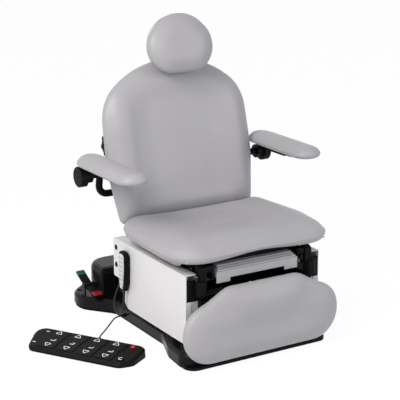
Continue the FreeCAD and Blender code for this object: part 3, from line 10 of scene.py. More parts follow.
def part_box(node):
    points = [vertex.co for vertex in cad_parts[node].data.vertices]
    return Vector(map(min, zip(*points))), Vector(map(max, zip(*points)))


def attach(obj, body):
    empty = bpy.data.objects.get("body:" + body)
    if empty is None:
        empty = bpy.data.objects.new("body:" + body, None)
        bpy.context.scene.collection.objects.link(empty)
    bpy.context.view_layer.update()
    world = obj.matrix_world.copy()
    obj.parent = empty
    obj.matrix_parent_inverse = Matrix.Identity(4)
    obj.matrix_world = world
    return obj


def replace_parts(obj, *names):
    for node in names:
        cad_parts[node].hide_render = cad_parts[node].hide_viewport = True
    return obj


# Lengths are in metres. Front is -Y, and left is the sitter's left, +X.
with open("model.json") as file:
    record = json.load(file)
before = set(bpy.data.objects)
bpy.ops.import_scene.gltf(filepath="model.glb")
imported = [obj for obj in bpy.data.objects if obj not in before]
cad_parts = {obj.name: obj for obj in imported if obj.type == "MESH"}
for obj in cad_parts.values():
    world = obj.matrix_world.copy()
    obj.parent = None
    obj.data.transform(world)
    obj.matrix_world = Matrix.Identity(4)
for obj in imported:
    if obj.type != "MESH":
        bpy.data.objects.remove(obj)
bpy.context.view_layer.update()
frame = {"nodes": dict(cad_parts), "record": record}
nodes = frame["nodes"]
scene = bpy.context.scene
SIDES = (("left", 1.0), ("right", -1.0))

# Camera: the photograph's view, on a 400 x 400 image. Angles are in degrees and the sensor in millimetres.
CAMERA_AZIMUTH = -31.55
CAMERA_ELEVATION = 15.8
CAMERA_DISTANCE = 5.0793
CAMERA_TARGET = Vector((-0.0806, 0.0, 0.57084))
FOCAL_PIXELS = 1281.27
IMAGE_PIXELS = 400.0
SENSOR = 36.0

# Lamps: name, place, aim, size, watts, colour
LAMPS = (
    ("key", (-3.2, -1.3, 3.2), (0.0, 0.1, 0.6), 2.2, 160.0, (1.0, 0.965, 0.93)),
    ("fill", (2.4, -3.8, 1.5), (0.0, 0.0, 0.4), 3.0, 46.0, (1.0, 0.985, 0.97)),
)
WORLD_TINT = (0.965, 0.965, 1.0, 1.0)
WORLD_LEVEL = 0.58
WHITE = (1.0, 1.0, 1.0, 1.0)

# Floor: seen directly it mostly glows white, and the matt share keeps the shadow
FLOOR_HALF = 40.0
FLOOR_MATT = (0.86, 0.86, 0.86, 1.0)
FLOOR_GLOW = 1.025
FLOOR_GLOW_SHARE = 0.92

# The back leans about its hinge, and its upholstery is shaped in that leaning frame
BACK_HINGE = (0.0, 0.265, 0.406)
BACK_LEAN = math.radians(13.0)
BACK_FRAME = Matrix.Translation(BACK_HINGE) @ Matrix.Rotation(-BACK_LEAN, 4, "X")

# The foot control lies turned on the floor, and its top slopes. Angles are in degrees.
FOOT_PLACE = (-0.562, 0.072, 0.0)
FOOT_TURN = -57.6
FOOT_SLOPE = 7.5
FOOT_SINK = -0.004
FOOT_FLOOR = Matrix.Translation(FOOT_PLACE) @ Matrix.Rotation(math.radians(FOOT_TURN), 4, "Z")
FOOT_FRAME = (Matrix.Translation((0.0, 0.0, FOOT_SINK)) @ FOOT_FLOOR
              @ Matrix.Rotation(math.radians(FOOT_SLOPE), 4, "X"))
FOOT_TOP = 0.034
ROCKER_TOP = 0.037
ROCKER_COUNT = 4
ROCKER_START = -0.150
ROCKER_PITCH = 0.0874


# Camera, floor and light
def aimed(name, data, at, towards):
    obj = bpy.data.objects.new(name, data)
    obj.location = at
    obj.rotation_mode = "QUATERNION"
    obj.rotation_quaternion = (Vector(towards) - Vector(at)).to_track_quat("-Z", "Y")
    scene.collection.objects.link(obj)
    return obj


def make_camera():
    a = math.radians(CAMERA_AZIMUTH)
    e = math.radians(CAMERA_ELEVATION)
    back = Vector((math.sin(a) * math.cos(e), -math.cos(a) * math.cos(e), math.sin(e)))
    data = bpy.data.cameras.new("camera")
    data.sensor_width = SENSOR
    data.lens = SENSOR * FOCAL_PIXELS / IMAGE_PIXELS
    scene.camera = aimed("camera", data, CAMERA_TARGET + back * CAMERA_DISTANCE, CAMERA_TARGET)


def make_lamps():
    for name, at, towards, size, watts, colour in LAMPS:
        data = bpy.data.lights.new(name, "AREA")
        data.shape = "DISK"
        data.size = size
        data.energy = watts
        data.color = colour
        aimed(name, data, at, towards)


def plain_rays(tree):
    """A socket that is 1 for rays from the camera, from mirrors and through glass."""
    rays = tree.nodes.new("ShaderNodeLightPath")
    total = rays.outputs["Is Camera Ray"]
    for kind in ("Is Glossy Ray", "Is Transmission Ray"):
        either = tree.nodes.new("ShaderNodeMath")
        either.operation = "MAXIMUM"
        tree.links.new(total, either.inputs[0])
        tree.links.new(rays.outputs[kind], either.inputs[1])
        total = either.outputs[0]
    return total


def make_world():
    world = bpy.data.worlds.new("world")
    scene.world = world
    world.use_nodes = True
    tree = world.node_tree
    lit = tree.nodes["Background"]
    lit.inputs["Color"].default_value = WORLD_TINT
    lit.inputs["Strength"].default_value = WORLD_LEVEL
    seen = tree.nodes.new("ShaderNodeBackground")
    seen.inputs["Color"].default_value = WHITE
    mix = tree.nodes.new("ShaderNodeMixShader")
    tree.links.new(plain_rays(tree), mix.inputs[0])
    tree.links.new(lit.outputs[0], mix.inputs[1])
    tree.links.new(seen.outputs[0], mix.inputs[2])
    tree.links.new(mix.outputs[0], tree.nodes["World Output"].inputs["Surface"])


def make_floor():
    mesh = bpy.data.meshes.new("floor")
    corners = [(x, y, 0.0) for x, y in rectangle(0.0, 0.0, FLOOR_HALF, FLOOR_HALF)]
    mesh.from_pydata(corners, [], [(0, 1, 2, 3)])
    floor = bpy.data.objects.new("floor", mesh)
    scene.collection.objects.link(floor)
    mat = bpy.data.materials.new("pale_floor")
    mat.use_nodes = True
    tree = mat.node_tree
    tree.nodes.remove(tree.nodes["Principled BSDF"])
    matt = tree.nodes.new("ShaderNodeBsdfDiffuse")
    matt.inputs["Color"].default_value = FLOOR_MATT
    plain = tree.nodes.new("ShaderNodeEmission")
    plain.inputs["Color"].default_value = WHITE
    plain.inputs["Strength"].default_value = FLOOR_GLOW
    share = tree.nodes.new("ShaderNodeMath")
    share.operation = "MULTIPLY"
    share.inputs[1].default_value = FLOOR_GLOW_SHARE
    mix = tree.nodes.new("ShaderNodeMixShader")
    tree.links.new(plain_rays(tree), share.inputs[0])
    tree.links.new(share.outputs[0], mix.inputs[0])
    tree.links.new(matt.outputs[0], mix.inputs[1])
    tree.links.new(plain.outputs[0], mix.inputs[2])
    tree.links.new(mix.outputs[0], tree.nodes["Material Output"].inputs["Surface"])
    mesh.materials.append(mat)


# Procedural finishes: a broad drift of colour and roughness, and a fine grain as relief
DRIFT_DETAIL = 3.0
DRIFT_RAMP = (0.3, 0.7)
ROUGH_DRIFT = 0.05
COAT_ROUGH = 0.35
SHEEN_ROUGH = 0.4


def finish(name, colour, rough, drift, drift_scale, grain, relief, depth,
           cells=False, metal=0.0, coat=0.0, sheen=0.0, shine=0.5, stretch=None):
    mat = bpy.data.materials.new(name)
    mat.use_nodes = True
    tree = mat.node_tree
    shader = tree.nodes["Principled BSDF"]
    source = tree.nodes.new("ShaderNodeTexCoord").outputs["Object"]
    broad = tree.nodes.new("ShaderNodeTexNoise")
    broad.inputs["Scale"].default_value = drift_scale
    broad.inputs["Detail"].default_value = DRIFT_DETAIL
    tree.links.new(source, broad.inputs["Vector"])
    ramp = tree.nodes.new("ShaderNodeValToRGB")
    for stop, at, level in zip(ramp.color_ramp.elements, DRIFT_RAMP, (1.0 - drift, 1.0 + drift)):
        stop.position = at
        stop.color = (*[c * level for c in colour], 1.0)
    tree.links.new(broad.outputs["Fac"], ramp.inputs["Fac"])
    tree.links.new(ramp.outputs["Color"], shader.inputs["Base Color"])
    wear = tree.nodes.new("ShaderNodeMapRange")
    wear.inputs["To Min"].default_value = rough - ROUGH_DRIFT
    wear.inputs["To Max"].default_value = rough + ROUGH_DRIFT
    tree.links.new(broad.outputs["Fac"], wear.inputs["Value"])
    tree.links.new(wear.outputs["Result"], shader.inputs["Roughness"])
    fine = tree.nodes.new("ShaderNodeTexVoronoi" if cells else "ShaderNodeTexNoise")
    fine.inputs["Scale"].default_value = grain
    if stretch:
        mapping = tree.nodes.new("ShaderNodeMapping")
        mapping.inputs["Scale"].default_value = stretch
        tree.links.new(source, mapping.inputs["Vector"])
        source = mapping.outputs["Vector"]
    tree.links.new(source, fine.inputs["Vector"])
    bump = tree.nodes.new("ShaderNodeBump")
    bump.inputs["Strength"].default_value = relief
    bump.inputs["Distance"].default_value = depth
    tree.links.new(fine.outputs["Distance" if cells else "Fac"], bump.inputs["Height"])
    tree.links.new(bump.outputs["Normal"], shader.inputs["Normal"])
    shader.inputs["Metallic"].default_value = metal
    shader.inputs["Specular IOR Level"].default_value = shine
    shader.inputs["Coat Weight"].default_value = coat
    shader.inputs["Coat Roughness"].default_value = COAT_ROUGH
    shader.inputs["Sheen Weight"].default_value = sheen
    shader.inputs["Sheen Roughness"].default_value = SHEEN_ROUGH
    return mat


# One finish for each material slot
FINISH = {
    "upholstery": finish(
        "vinyl", (0.331, 0.327, 0.345), rough=0.47, drift=0.03, drift_scale=5.0, grain=780.0,
        relief=0.10, depth=0.0005, cells=True, coat=0.04, sheen=0.10, shine=0.4),
    "white_paint": finish(
        "white_powder_coat", (0.62, 0.62, 0.625), rough=0.36, drift=0.015, drift_scale=4.0, grain=900.0,
        relief=0.05, depth=0.0003),
    "black_plastic": finish(
        "black_plastic", (0.0050, 0.0049, 0.0050), rough=0.27, drift=0.20, drift_scale=14.0, grain=1400.0,
        relief=0.05, depth=0.0003, cells=True, shine=0.12),
    "black_metal": finish(
        "black_powder_coat", (0.0034, 0.0034, 0.0037), rough=0.46, drift=0.18, drift_scale=11.0, grain=1000.0,
        relief=0.14, depth=0.0003, shine=0.08),
    "drive_grey": finish(
        "drive_grey", (0.30, 0.30, 0.31), rough=0.42, drift=0.08, drift_scale=12.0, grain=700.0,
        relief=0.05, depth=0.0003, metal=0.7),
    "steel": finish(
        "turned_steel", (0.56, 0.56, 0.57), rough=0.28, drift=0.06, drift_scale=20.0, grain=260.0,
        relief=0.08, depth=0.0003, metal=1.0, stretch=(1.0, 14.0, 1.0)),
    "tray_grey": finish(
        "tray_grey", (0.365, 0.365, 0.378), rough=0.44, drift=0.03, drift_scale=7.0, grain=1100.0,
        relief=0.06, depth=0.0003),
    "overlay": finish(
        "keypad_overlay", (0.55, 0.56, 0.57), rough=0.30, drift=0.05, drift_scale=30.0, grain=900.0,
        relief=0.04, depth=0.0002, coat=0.3),
    "board": finish(
        "black_lining_cloth", (0.0060, 0.0060, 0.0062), rough=0.85, drift=0.20, drift_scale=14.0, grain=420.0,
        relief=0.25, depth=0.0006, shine=0.15),
    "rubber": finish(
        "black_rubber", (0.0090, 0.0090, 0.0090), rough=0.72, drift=0.15, drift_scale=20.0, grain=700.0,
        relief=0.12, depth=0.0004, shine=0.25),
    "wheel_tread": finish(
        "wheel_tread", (0.015, 0.015, 0.016), rough=0.62, drift=0.15, drift_scale=24.0, grain=500.0,
        relief=0.14, depth=0.0004, shine=0.3),
    "cord": finish(
        "cord_jacket", (0.0060, 0.0060, 0.0065), rough=0.48, drift=0.15, drift_scale=30.0, grain=900.0,
        relief=0.08, depth=0.0002, shine=0.3),
    "green_plastic": finish(
        "green_pad", (0.002, 0.100, 0.036), rough=0.40, drift=0.08, drift_scale=26.0, grain=1200.0,
        relief=0.08, depth=0.0003, shine=0.35),
    "red_plastic": finish(
        "red_pad", (0.330, 0.005, 0.012), rough=0.40, drift=0.08, drift_scale=26.0, grain=1200.0,
        relief=0.08, depth=0.0003, shine=0.35),
}

# Finishes for single pieces, and for the prints and the seam
MATT_BLACK = finish(
    "black_matt_plastic", (0.0044, 0.0044, 0.0048), rough=0.52, drift=0.18, drift_scale=14.0, grain=1400.0,
    relief=0.10, depth=0.0003, cells=True, shine=0.09)
STOP_RED = finish(
    "stop_red", (0.600, 0.016, 0.030), rough=0.42, drift=0.06, drift_scale=30.0, grain=1200.0,
    relief=0.06, depth=0.0002, shine=0.3)
PRINT_WHITE = finish(
    "white_print", (0.78, 0.78, 0.77), rough=0.55, drift=0.05, drift_scale=60.0, grain=1200.0,
    relief=0.04, depth=0.0001)
PRINT_BLUE = finish(
    "blue_print", (0.070, 0.180, 0.460), rough=0.55, drift=0.08, drift_scale=60.0, grain=1200.0,
    relief=0.04, depth=0.0001)
PRINT_GREY = finish(
    "grey_print", (0.150, 0.155, 0.165), rough=0.55, drift=0.10, drift_scale=60.0, grain=1200.0,
    relief=0.04, depth=0.0001)
SEAM_THREAD = finish(
    "seam_line", (0.270, 0.265, 0.270), rough=0.55, drift=0.08, drift_scale=40.0, grain=900.0,
    relief=0.10, depth=0.0003)
OTHER_FINISH = {node: MATT_BLACK for node in (
    "foot_case", "foot_rocker_1", "foot_rocker_2", "foot_rocker_3", "foot_rocker_4", "foot_button_home",
    "foot_gland", "hand_control", "hand_holder", "arm_plate_left", "arm_plate_right", "back_knob",
    "front_bezel")}
OTHER_FINISH["foot_button_stop"] = STOP_RED


def paint_frame():
    for part in frame["record"]["subparts"]:
        mesh = nodes[part["node"]].data
        mesh.materials.clear()
        mesh.materials.append(OTHER_FINISH.get(part["node"], FINISH[part["material_slot"]]))


# Mesh helpers. A shape is a list of points and a list of faces; a loop is a closed outline in a plane.
SWEEP_SIDES = 8
SWEEP_UP = Vector((0.13, 0.31, 0.94))


def place(name, shape, body, slot, mat=None, matrix=None, smooth=False):
    verts, faces = shape
    if matrix is not None:
        verts = [matrix @ Vector(v) for v in verts]
    mesh = bpy.data.meshes.new(name)
    mesh.from_pydata([tuple(v) for v in verts], [], faces)
    work = bmesh.new()
    work.from_mesh(mesh)
    bmesh.ops.recalc_face_normals(work, faces=work.faces)
    work.to_mesh(mesh)
    work.free()
    obj = bpy.data.objects.new(name, mesh)
    scene.collection.objects.link(obj)
    mesh.materials.append(mat or FINISH[slot])
    mesh.polygons.foreach_set("use_smooth", [smooth] * len(mesh.polygons))
    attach(obj, body)
    return obj


def stacked(loops):
    """A closed skin over loops of equal length, with a face at each end."""
    count = len(loops[0])
    verts = [v for loop in loops for v in loop]
    faces = []
    for k in range(len(loops) - 1):
        for i in range(count):
            j = (i + 1) % count
            faces.append((k * count + i, k * count + j, (k + 1) * count + j, (k + 1) * count + i))
    faces.append(tuple(range(count)))
    faces.append(tuple(len(verts) - count + i for i in range(count)))
    return verts, faces


def plate(loop, low, rise):
    return stacked([[(x, y, z) for x, y in loop] for z in (low, low + rise)])


def pill(loop, low, high, edge):
    """A plate whose upper edge is bevelled."""
    centre_x = sum(x for x, y in loop) / len(loop)
    centre_y = sum(y for x, y in loop) / len(loop)
    reach = max(math.hypot(x - centre_x, y - centre_y) for x, y in loop)
    shrink = 1.0 - edge / reach
    small = [(centre_x + (x - centre_x) * shrink, centre_y + (y - centre_y) * shrink) for x, y in loop]
    levels = ((loop, low), (loop, high - edge), (small, high))
    return stacked([[(x, y, z) for x, y in outline] for outline, z in levels])


def ring_band(outer, inner, low, rise):
    """A flat frame between two loops of equal length."""
    count = len(outer)
    verts = [(x, y, z) for z in (low, low + rise) for x, y in outer + inner]
    top = 2 * count
    faces = []
    for i in range(count):
        j = (i + 1) % count
        a, b, c, d = i, j, count + j, count + i
        faces += [(a, b, c, d), (top + a, top + b, top + c, top + d)]
        faces += [(a, b, top + b, top + a), (d, c, top + c, top + d)]
    return verts, faces


def lathed(rings, sides, to_point):
    """A turned shape from (radius, rise) rings; to_point sets two circle values and a rise in space."""
    angles = [2.0 * math.pi * k / sides for k in range(sides)]
    return stacked([[to_point(r * math.cos(a), r * math.sin(a), d) for a in angles] for r, d in rings])


def swept(path, radius):
    """A round tube along a closed path."""
    count = len(path)
    verts = []
    faces = []
    for i, p in enumerate(path):
        here = Vector(p)
        along = (Vector(path[(i + 1) % count]) - Vector(path[i - 1])).normalized()
        across = along.cross(SWEEP_UP).normalized()
        other = along.cross(across)
        for k in range(SWEEP_SIDES):
            a = 2.0 * math.pi * k / SWEEP_SIDES
            verts.append(here + (across * math.cos(a) + other * math.sin(a)) * radius)
    for i in range(count):
        j = (i + 1) % count
        for k in range(SWEEP_SIDES):
            m = (k + 1) % SWEEP_SIDES
            faces.append((i * SWEEP_SIDES + k, i * SWEEP_SIDES + m, j * SWEEP_SIDES + m, j * SWEEP_SIDES + k))
    return verts, faces


def rectangle(x, y, half_x, half_y):
    return [(x + half_x * a, y + half_y * b) for a, b in ((-1, -1), (1, -1), (1, 1), (-1, 1))]


def corner_arc(points, i, radius):
    """Centre of a rounded corner, and the arms from it to the arc's two ends."""
    here = Vector(points[i])
    before = (Vector(points[i - 1]) - here).normalized()
    after = (Vector(points[(i + 1) % len(points)]) - here).normalized()
    half = before.angle(after) / 2.0
    centre = here + (before + after).normalized() * (radius / math.sin(half))
    reach = radius / math.tan(half)
    return centre, here + before * reach - centre, here + after * reach - centre


def rounded(points, radius, steps=5):
    out = []
    for i in range(len(points)):
        centre, start, end = corner_arc(points, i, radius)
        sweep = start.angle_signed(end)
        for k in range(steps + 1):
            a = -sweep * k / steps
            c, s = math.cos(a), math.sin(a)
            out.append((centre.x + start.x * c - start.y * s, centre.y + start.x * s + start.y * c))
    return out


# Upholstery: each cushion's solid is remeshed, blown up a little as cloth, and pressed into form.
# Only the outward swell of the cloth is kept, capped and smoothed.
WELD = 0.00002
RELAX = 0.5
CLOTH_FRAMES = 20
CLOTH_QUALITY = 4
CLOTH_MASS = 0.35
CLOTH_STRETCH = 25.0
CLOTH_SHEAR = 10.0
CLOTH_BENDING = 4.0
CLOTH_PRESSURE = 4.0
TAUT_PASSES = 40
CREASE_PASSES = 3
CREASE = 0.10
LAST_PASSES = 4


def vertex_values(mesh, kind):
    flat = np.empty(len(mesh.vertices) * 3)
    mesh.vertices.foreach_get(kind, flat)
    return flat.reshape(-1, 3)


def coordinates(mesh):
    return vertex_values(mesh, "co")


def set_coordinates(mesh, points):
    mesh.vertices.foreach_set("co", np.ascontiguousarray(points).ravel())
    mesh.update()


def baked(obj):
    """Apply the modifiers."""
    graph = bpy.context.evaluated_depsgraph_get()
    mesh = bpy.data.meshes.new_from_object(obj.evaluated_get(graph))
    obj.modifiers.clear()
    old = obj.data
    obj.data = mesh
    bpy.data.meshes.remove(old)


def relaxed(obj, passes):
    even = obj.modifiers.new("even", "SMOOTH")
    even.factor = RELAX
    even.iterations = passes
    baked(obj)


def soft_copy(name, node, voxel, passes):
    source = nodes[node]
    mesh = source.data.copy()
    mesh.transform(source.matrix_world)
    work = bmesh.new()
    work.from_mesh(mesh)
    bmesh.ops.remove_doubles(work, verts=work.verts, dist=WELD)
    work.to_mesh(mesh)
    work.free()
    obj = bpy.data.objects.new(name, mesh)
    scene.collection.objects.link(obj)
    remesh = obj.modifiers.new("remesh", "REMESH")
    remesh.mode = "VOXEL"
    remesh.voxel_size = voxel
    relaxed(obj, passes)
    return obj


def swollen_by(obj, amount, held):
    """Move the free skin outwards, or inwards with a negative amount."""
    points = coordinates(obj.data)
    outward = vertex_values(obj.data, "normal")
    set_coordinates(obj.data, points + outward * (amount * (1.0 - held))[:, None])


def spread(mesh, values, passes):
    """Smooth one value per vertex along the mesh's edges."""
    ends = np.empty(len(mesh.edges) * 2, dtype=np.int64)
    mesh.edges.foreach_get("vertices", ends)
    first, second = ends[0::2], ends[1::2]
    count = len(values)
    links = np.bincount(ends, minlength=count)
    for step in range(passes):
        around = np.bincount(first, values[second], count) + np.bincount(second, values[first], count)
        values = 0.5 * values + 0.5 * around / links
    return values


def inflate(jobs):
    starts = {}
    for obj, held, cap in jobs:
        group = obj.vertex_groups.new(name="held")
        for index, weight in enumerate(held):
            group.add([index], float(weight), "REPLACE")
        cloth = obj.modifiers.new("cloth", "CLOTH")
        settings = cloth.settings
        settings.quality = CLOTH_QUALITY
        settings.mass = CLOTH_MASS
        settings.tension_stiffness = CLOTH_STRETCH
        settings.compression_stiffness = CLOTH_STRETCH
        settings.shear_stiffness = CLOTH_SHEAR
        settings.bending_stiffness = CLOTH_BENDING
        settings.use_pressure = True
        settings.uniform_pressure_force = CLOTH_PRESSURE
        settings.vertex_group_mass = "held"
        settings.effector_weights.gravity = 0.0
        cloth.collision_settings.use_collision = False
        cloth.point_cache.frame_start = 1
        cloth.point_cache.frame_end = CLOTH_FRAMES
        starts[obj.name] = coordinates(obj.data)
    for step in range(1, CLOTH_FRAMES + 1):
        scene.frame_set(step)
        bpy.context.view_layer.update()
    graph = bpy.context.evaluated_depsgraph_get()
    for obj, held, cap in jobs:
        start = starts[obj.name]
        moved = coordinates(obj.evaluated_get(graph).data) - start
        outward = vertex_values(obj.data, "normal")
        swell = np.maximum(np.sum(moved * outward, axis=1), 0.0)
        swell = cap * np.tanh(swell / cap)
        taut = spread(obj.data, swell, TAUT_PASSES)
        swell = taut + CREASE * (spread(obj.data, swell, CREASE_PASSES) - taut)
        obj.modifiers.clear()
        obj.vertex_groups.clear()
        set_coordinates(obj.data, start + outward * swell[:, None])
    scene.frame_set(1)


# Soft steps over a band, a pair of start and end
def beyond(value, band):
    t = np.clip((value - band[0]) / (band[1] - band[0]), 0.0, 1.0)
    return t * t * (3.0 - 2.0 * t)


def within(value, band):
    return 1.0 - beyond(value, band)


def ridge(value, rise, fall):
    return beyond(value, rise) * within(value, fall)


def bell(value, width):
    return np.exp(-(value / width) ** 2)


def moved_by(matrix, points):
    m = np.array(matrix)
    return points @ m[:3, :3].T + m[:3, 3]


def in_back_frame(points):
    return moved_by(BACK_FRAME.inverted(), points)


def from_back_frame(points):
    return moved_by(BACK_FRAME, points)


# Seat: pressed flat with a hollow for the sitter, a raised rim, a lower nose and an arched lip below it
SEAT_TOP = (0.450, 0.472)
SEAT_PRESS = 0.007
SEAT_HOLLOW = 0.022
SEAT_HOLLOW_ACROSS = (0.10, 0.27)
SEAT_HOLLOW_AHEAD = (0.06, 0.25)
SEAT_HOLLOW_BEHIND = (0.06, 0.18)
SEAT_HOLLOW_LOSS = 0.75
SEAT_RIM = 0.004
SEAT_RIM_RISE = (0.21, 0.30)
SEAT_RIM_FALL = (0.31, 0.36)
SEAT_NOSE = 0.008
SEAT_NOSE_AHEAD = (0.14, 0.31)
SEAT_LIP = 0.0030
SEAT_LIP_AHEAD = (0.215, 0.285)
SEAT_LIP_BELOW = (0.420, 0.462)
SEAT_ARCH = 0.0070
SEAT_ARCH_HALF = 0.225


def seat_form(points):
    p = points.copy()
    side, ahead = np.abs(p[:, 0]), -p[:, 1]
    hollow = within(side, SEAT_HOLLOW_ACROSS) * within(ahead, SEAT_HOLLOW_AHEAD)
    hollow *= 1.0 - SEAT_HOLLOW_LOSS * beyond(-ahead, SEAT_HOLLOW_BEHIND)
    rim = ridge(side, SEAT_RIM_RISE, SEAT_RIM_FALL)
    nose = beyond(ahead, SEAT_NOSE_AHEAD)
    press = SEAT_PRESS + SEAT_HOLLOW * hollow - SEAT_RIM * rim + SEAT_NOSE * nose
    p[:, 2] -= beyond(p[:, 2], SEAT_TOP) * press
    lip = beyond(ahead, SEAT_LIP_AHEAD) * within(p[:, 2], SEAT_LIP_BELOW)
    arch = np.cos(np.clip(side / SEAT_ARCH_HALF, 0.0, 1.0) * math.pi)
    p[:, 2] += lip * (SEAT_LIP + SEAT_ARCH * arch)
    return p


# Back: a long hollow between two soft rims, and a little wider below
BACK_FACE = (0.040, 0.062)
BACK_FORM_RISE = (0.05, 0.16)
BACK_FORM_FALL = (0.50, 0.62)
BACK_HOLLOW = 0.016
BACK_HOLLOW_ACROSS = (0.13, 0.26)
BACK_RIM = 0.007
BACK_RIM_RISE = (0.20, 0.27)
BACK_RIM_FALL = (0.28, 0.33)
BACK_WIDER = 0.010
BACK_WIDER_BELOW = (0.25, 0.50)


def back_form(points):
    q = in_back_frame(points)
    side, up = np.abs(q[:, 0]), q[:, 2]
    face = beyond(-q[:, 1], BACK_FACE) * ridge(up, BACK_FORM_RISE, BACK_FORM_FALL)
    hollow = within(side, BACK_HOLLOW_ACROSS)
    rim = ridge(side, BACK_RIM_RISE, BACK_RIM_FALL)
    q[:, 1] += face * (BACK_HOLLOW * hollow - BACK_RIM * rim)
    q[:, 0] *= 1.0 + BACK_WIDER * within(up, BACK_WIDER_BELOW)
    return from_back_frame(q)


# Leg section: a shallow hollow across its face, and raised shoulders
LEG_FACE = (0.338, 0.356)
LEG_HOLLOW = 0.007
LEG_HOLLOW_UP = 0.155
LEG_HOLLOW_WIDTH = 0.050
LEG_HOLLOW_ACROSS = (0.20, 0.31)
LEG_SHOULDER = 0.015
LEG_SHOULDER_OUT = 0.222
LEG_SHOULDER_WIDTH = 0.034
LEG_SHOULDER_UP = (0.20, 0.26)


def leg_form(points):
    p = points.copy()
    side, up = np.abs(p[:, 0]), p[:, 2]
    hollow = bell(up - LEG_HOLLOW_UP, LEG_HOLLOW_WIDTH) * within(side, LEG_HOLLOW_ACROSS)
    p[:, 1] += beyond(-p[:, 1], LEG_FACE) * LEG_HOLLOW * hollow
    p[:, 2] += LEG_SHOULDER * bell(side - LEG_SHOULDER_OUT, LEG_SHOULDER_WIDTH) * beyond(up, LEG_SHOULDER_UP)
    return p


# Headrest: a slight dish in its face
HEAD_FACE = (0.165, 0.182)
HEAD_DISH = 0.005
HEAD_DISH_WIDTH = 0.060
HEAD_DISH_UP = 0.730
HEAD_DISH_HEIGHT = 0.070


def head_form(points):
    q = in_back_frame(points)
    dish = bell(q[:, 0], HEAD_DISH_WIDTH) * bell(q[:, 2] - HEAD_DISH_UP, HEAD_DISH_HEIGHT)
    q[:, 1] += beyond(-q[:, 1], HEAD_FACE) * HEAD_DISH * dish
    return from_back_frame(q)


# Arm pads: crowned across, with a slightly raised tip
ARM_TOP = (0.704, 0.728)
ARM_MIDDLE = 0.410
ARM_HALF = 0.066
ARM_CROWN = 0.010
ARM_CROWN_LIMIT = 1.3
ARM_TIP = 0.002
ARM_TIP_AHEAD = (0.00, 0.09)


def arm_form(points):
    p = points.copy()
    across = (np.abs(p[:, 0]) - ARM_MIDDLE) / ARM_HALF
    p[:, 2] -= ARM_CROWN * np.minimum(across ** 2, ARM_CROWN_LIMIT) * beyond(p[:, 2], ARM_TOP)
    p[:, 2] += ARM_TIP * beyond(-p[:, 1], ARM_TIP_AHEAD)
    return p


# voxel and passes: the remesh; slack: taken in before the cloth swells, by up to cap; fill: added after it;
# form: the shaping above; under: towards the board, where a layer as deep as band is held
Cushion = namedtuple("Cushion", "name node body voxel passes slack fill cap form under band")
DOWN = (0.0, 0.0, -1.0)
REARWARD = (0.0, 1.0, 0.0)
BEHIND_BACK = (0.0, math.cos(BACK_LEAN), -math.sin(BACK_LEAN))
HELD_START = 2.2
HELD_FULL = 0.6
CUSHIONS = (
    Cushion("seat_upholstery", "seat_cushion", "seat", voxel=0.0075, passes=12, slack=0.003, fill=0.008,
            cap=0.022, form=seat_form, under=DOWN, band=0.010),
    Cushion("back_upholstery", "back_cushion", "back", voxel=0.0075, passes=12, slack=0.003, fill=0.006,
            cap=0.022, form=back_form, under=BEHIND_BACK, band=0.010),
    Cushion("headrest_upholstery", "headrest_cushion", "headrest", voxel=0.0055, passes=14, slack=0.002,
            fill=0.006, cap=0.012, form=head_form, under=BEHIND_BACK, band=0.008),
    Cushion("leg_upholstery", "leg_cushion", "leg", voxel=0.0065, passes=14, slack=0.002, fill=0.004,
            cap=0.014, form=leg_form, under=REARWARD, band=0.006),
    Cushion("arm_upholstery_left", "arm_pad_left", "arm_left", voxel=0.0050, passes=10, slack=0.0015,
            fill=0.0025, cap=0.008, form=arm_form, under=DOWN, band=0.006),
    Cushion("arm_upholstery_right", "arm_pad_right", "arm_right", voxel=0.0050, passes=10, slack=0.0015,
            fill=0.0025, cap=0.008, form=arm_form, under=DOWN, band=0.006),
)


def make_upholstery():
    made = []
    jobs = []
    for cushion in CUSHIONS:
        obj = soft_copy(cushion.name, cushion.node, cushion.voxel, cushion.passes)
        depth = coordinates(obj.data) @ np.array(cushion.under)
        end = depth.max()
        held = beyond(depth, (end - HELD_START * cushion.band, end - HELD_FULL * cushion.band))
        fill = cushion.fill
        swollen_by(obj, -cushion.slack, held)
        jobs.append((obj, held, cushion.cap))
        made.append((cushion, obj, held, fill))
    if jobs:
        inflate(jobs)
    for cushion, obj, held, fill in made:
        swollen_by(obj, fill, held)
        relaxed(obj, LAST_PASSES)
        set_coordinates(obj.data, cushion.form(coordinates(obj.data)))
        fine = obj.modifiers.new("fine", "SUBSURF")
        fine.levels = 1
        fine.render_levels = 1
        baked(obj)
        obj.data.polygons.foreach_set("use_smooth", [True] * len(obj.data.polygons))
        obj.data.materials.clear()
        obj.data.materials.append(FINISH["upholstery"])
        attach(obj, cushion.body)
        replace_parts(obj, cushion.node)


# Seat sides: the vinyl runs on from the cushion's edge down to the body, and round the rear corner.
# Towards the front it draws in and lifts.
SIDE_FRONT = 0.292
SIDE_REAR = 0.140
SIDE_STEPS = 29
SIDE_DRAWN = (0.150, SIDE_FRONT)
SIDE_DRAW_IN = 0.030
SIDE_DRAW_UP = 0.0480
SIDE_TOP_Z = 0.440
SIDE_LOW_Z = 0.3785
SIDE_LOW_X = 0.2885
SIDE_CORNER = 0.062
SIDE_LOW_CORNER = (0.028, 0.0405)
SIDE_CORNER_TURN = 80.0
SIDE_CORNER_STEPS = 8
EDGE_NEAR = 0.008
EDGE_BELOW = 0.446
EDGE_INSET = 0.004
# Shares of the way from the upper edge to the lower one, across and up
SIDE_SECTION = (
    (0.02, 1.00), (0.03, 0.86), (0.12, 0.70), (0.30, 0.53), (0.52, 0.37), (0.74, 0.21), (0.90, 0.09),
    (0.98, 0.02), (1.05, 0.00), (1.10, 0.04), (1.12, 0.20), (0.95, 0.42), (0.70, 0.66), (0.45, 0.86))


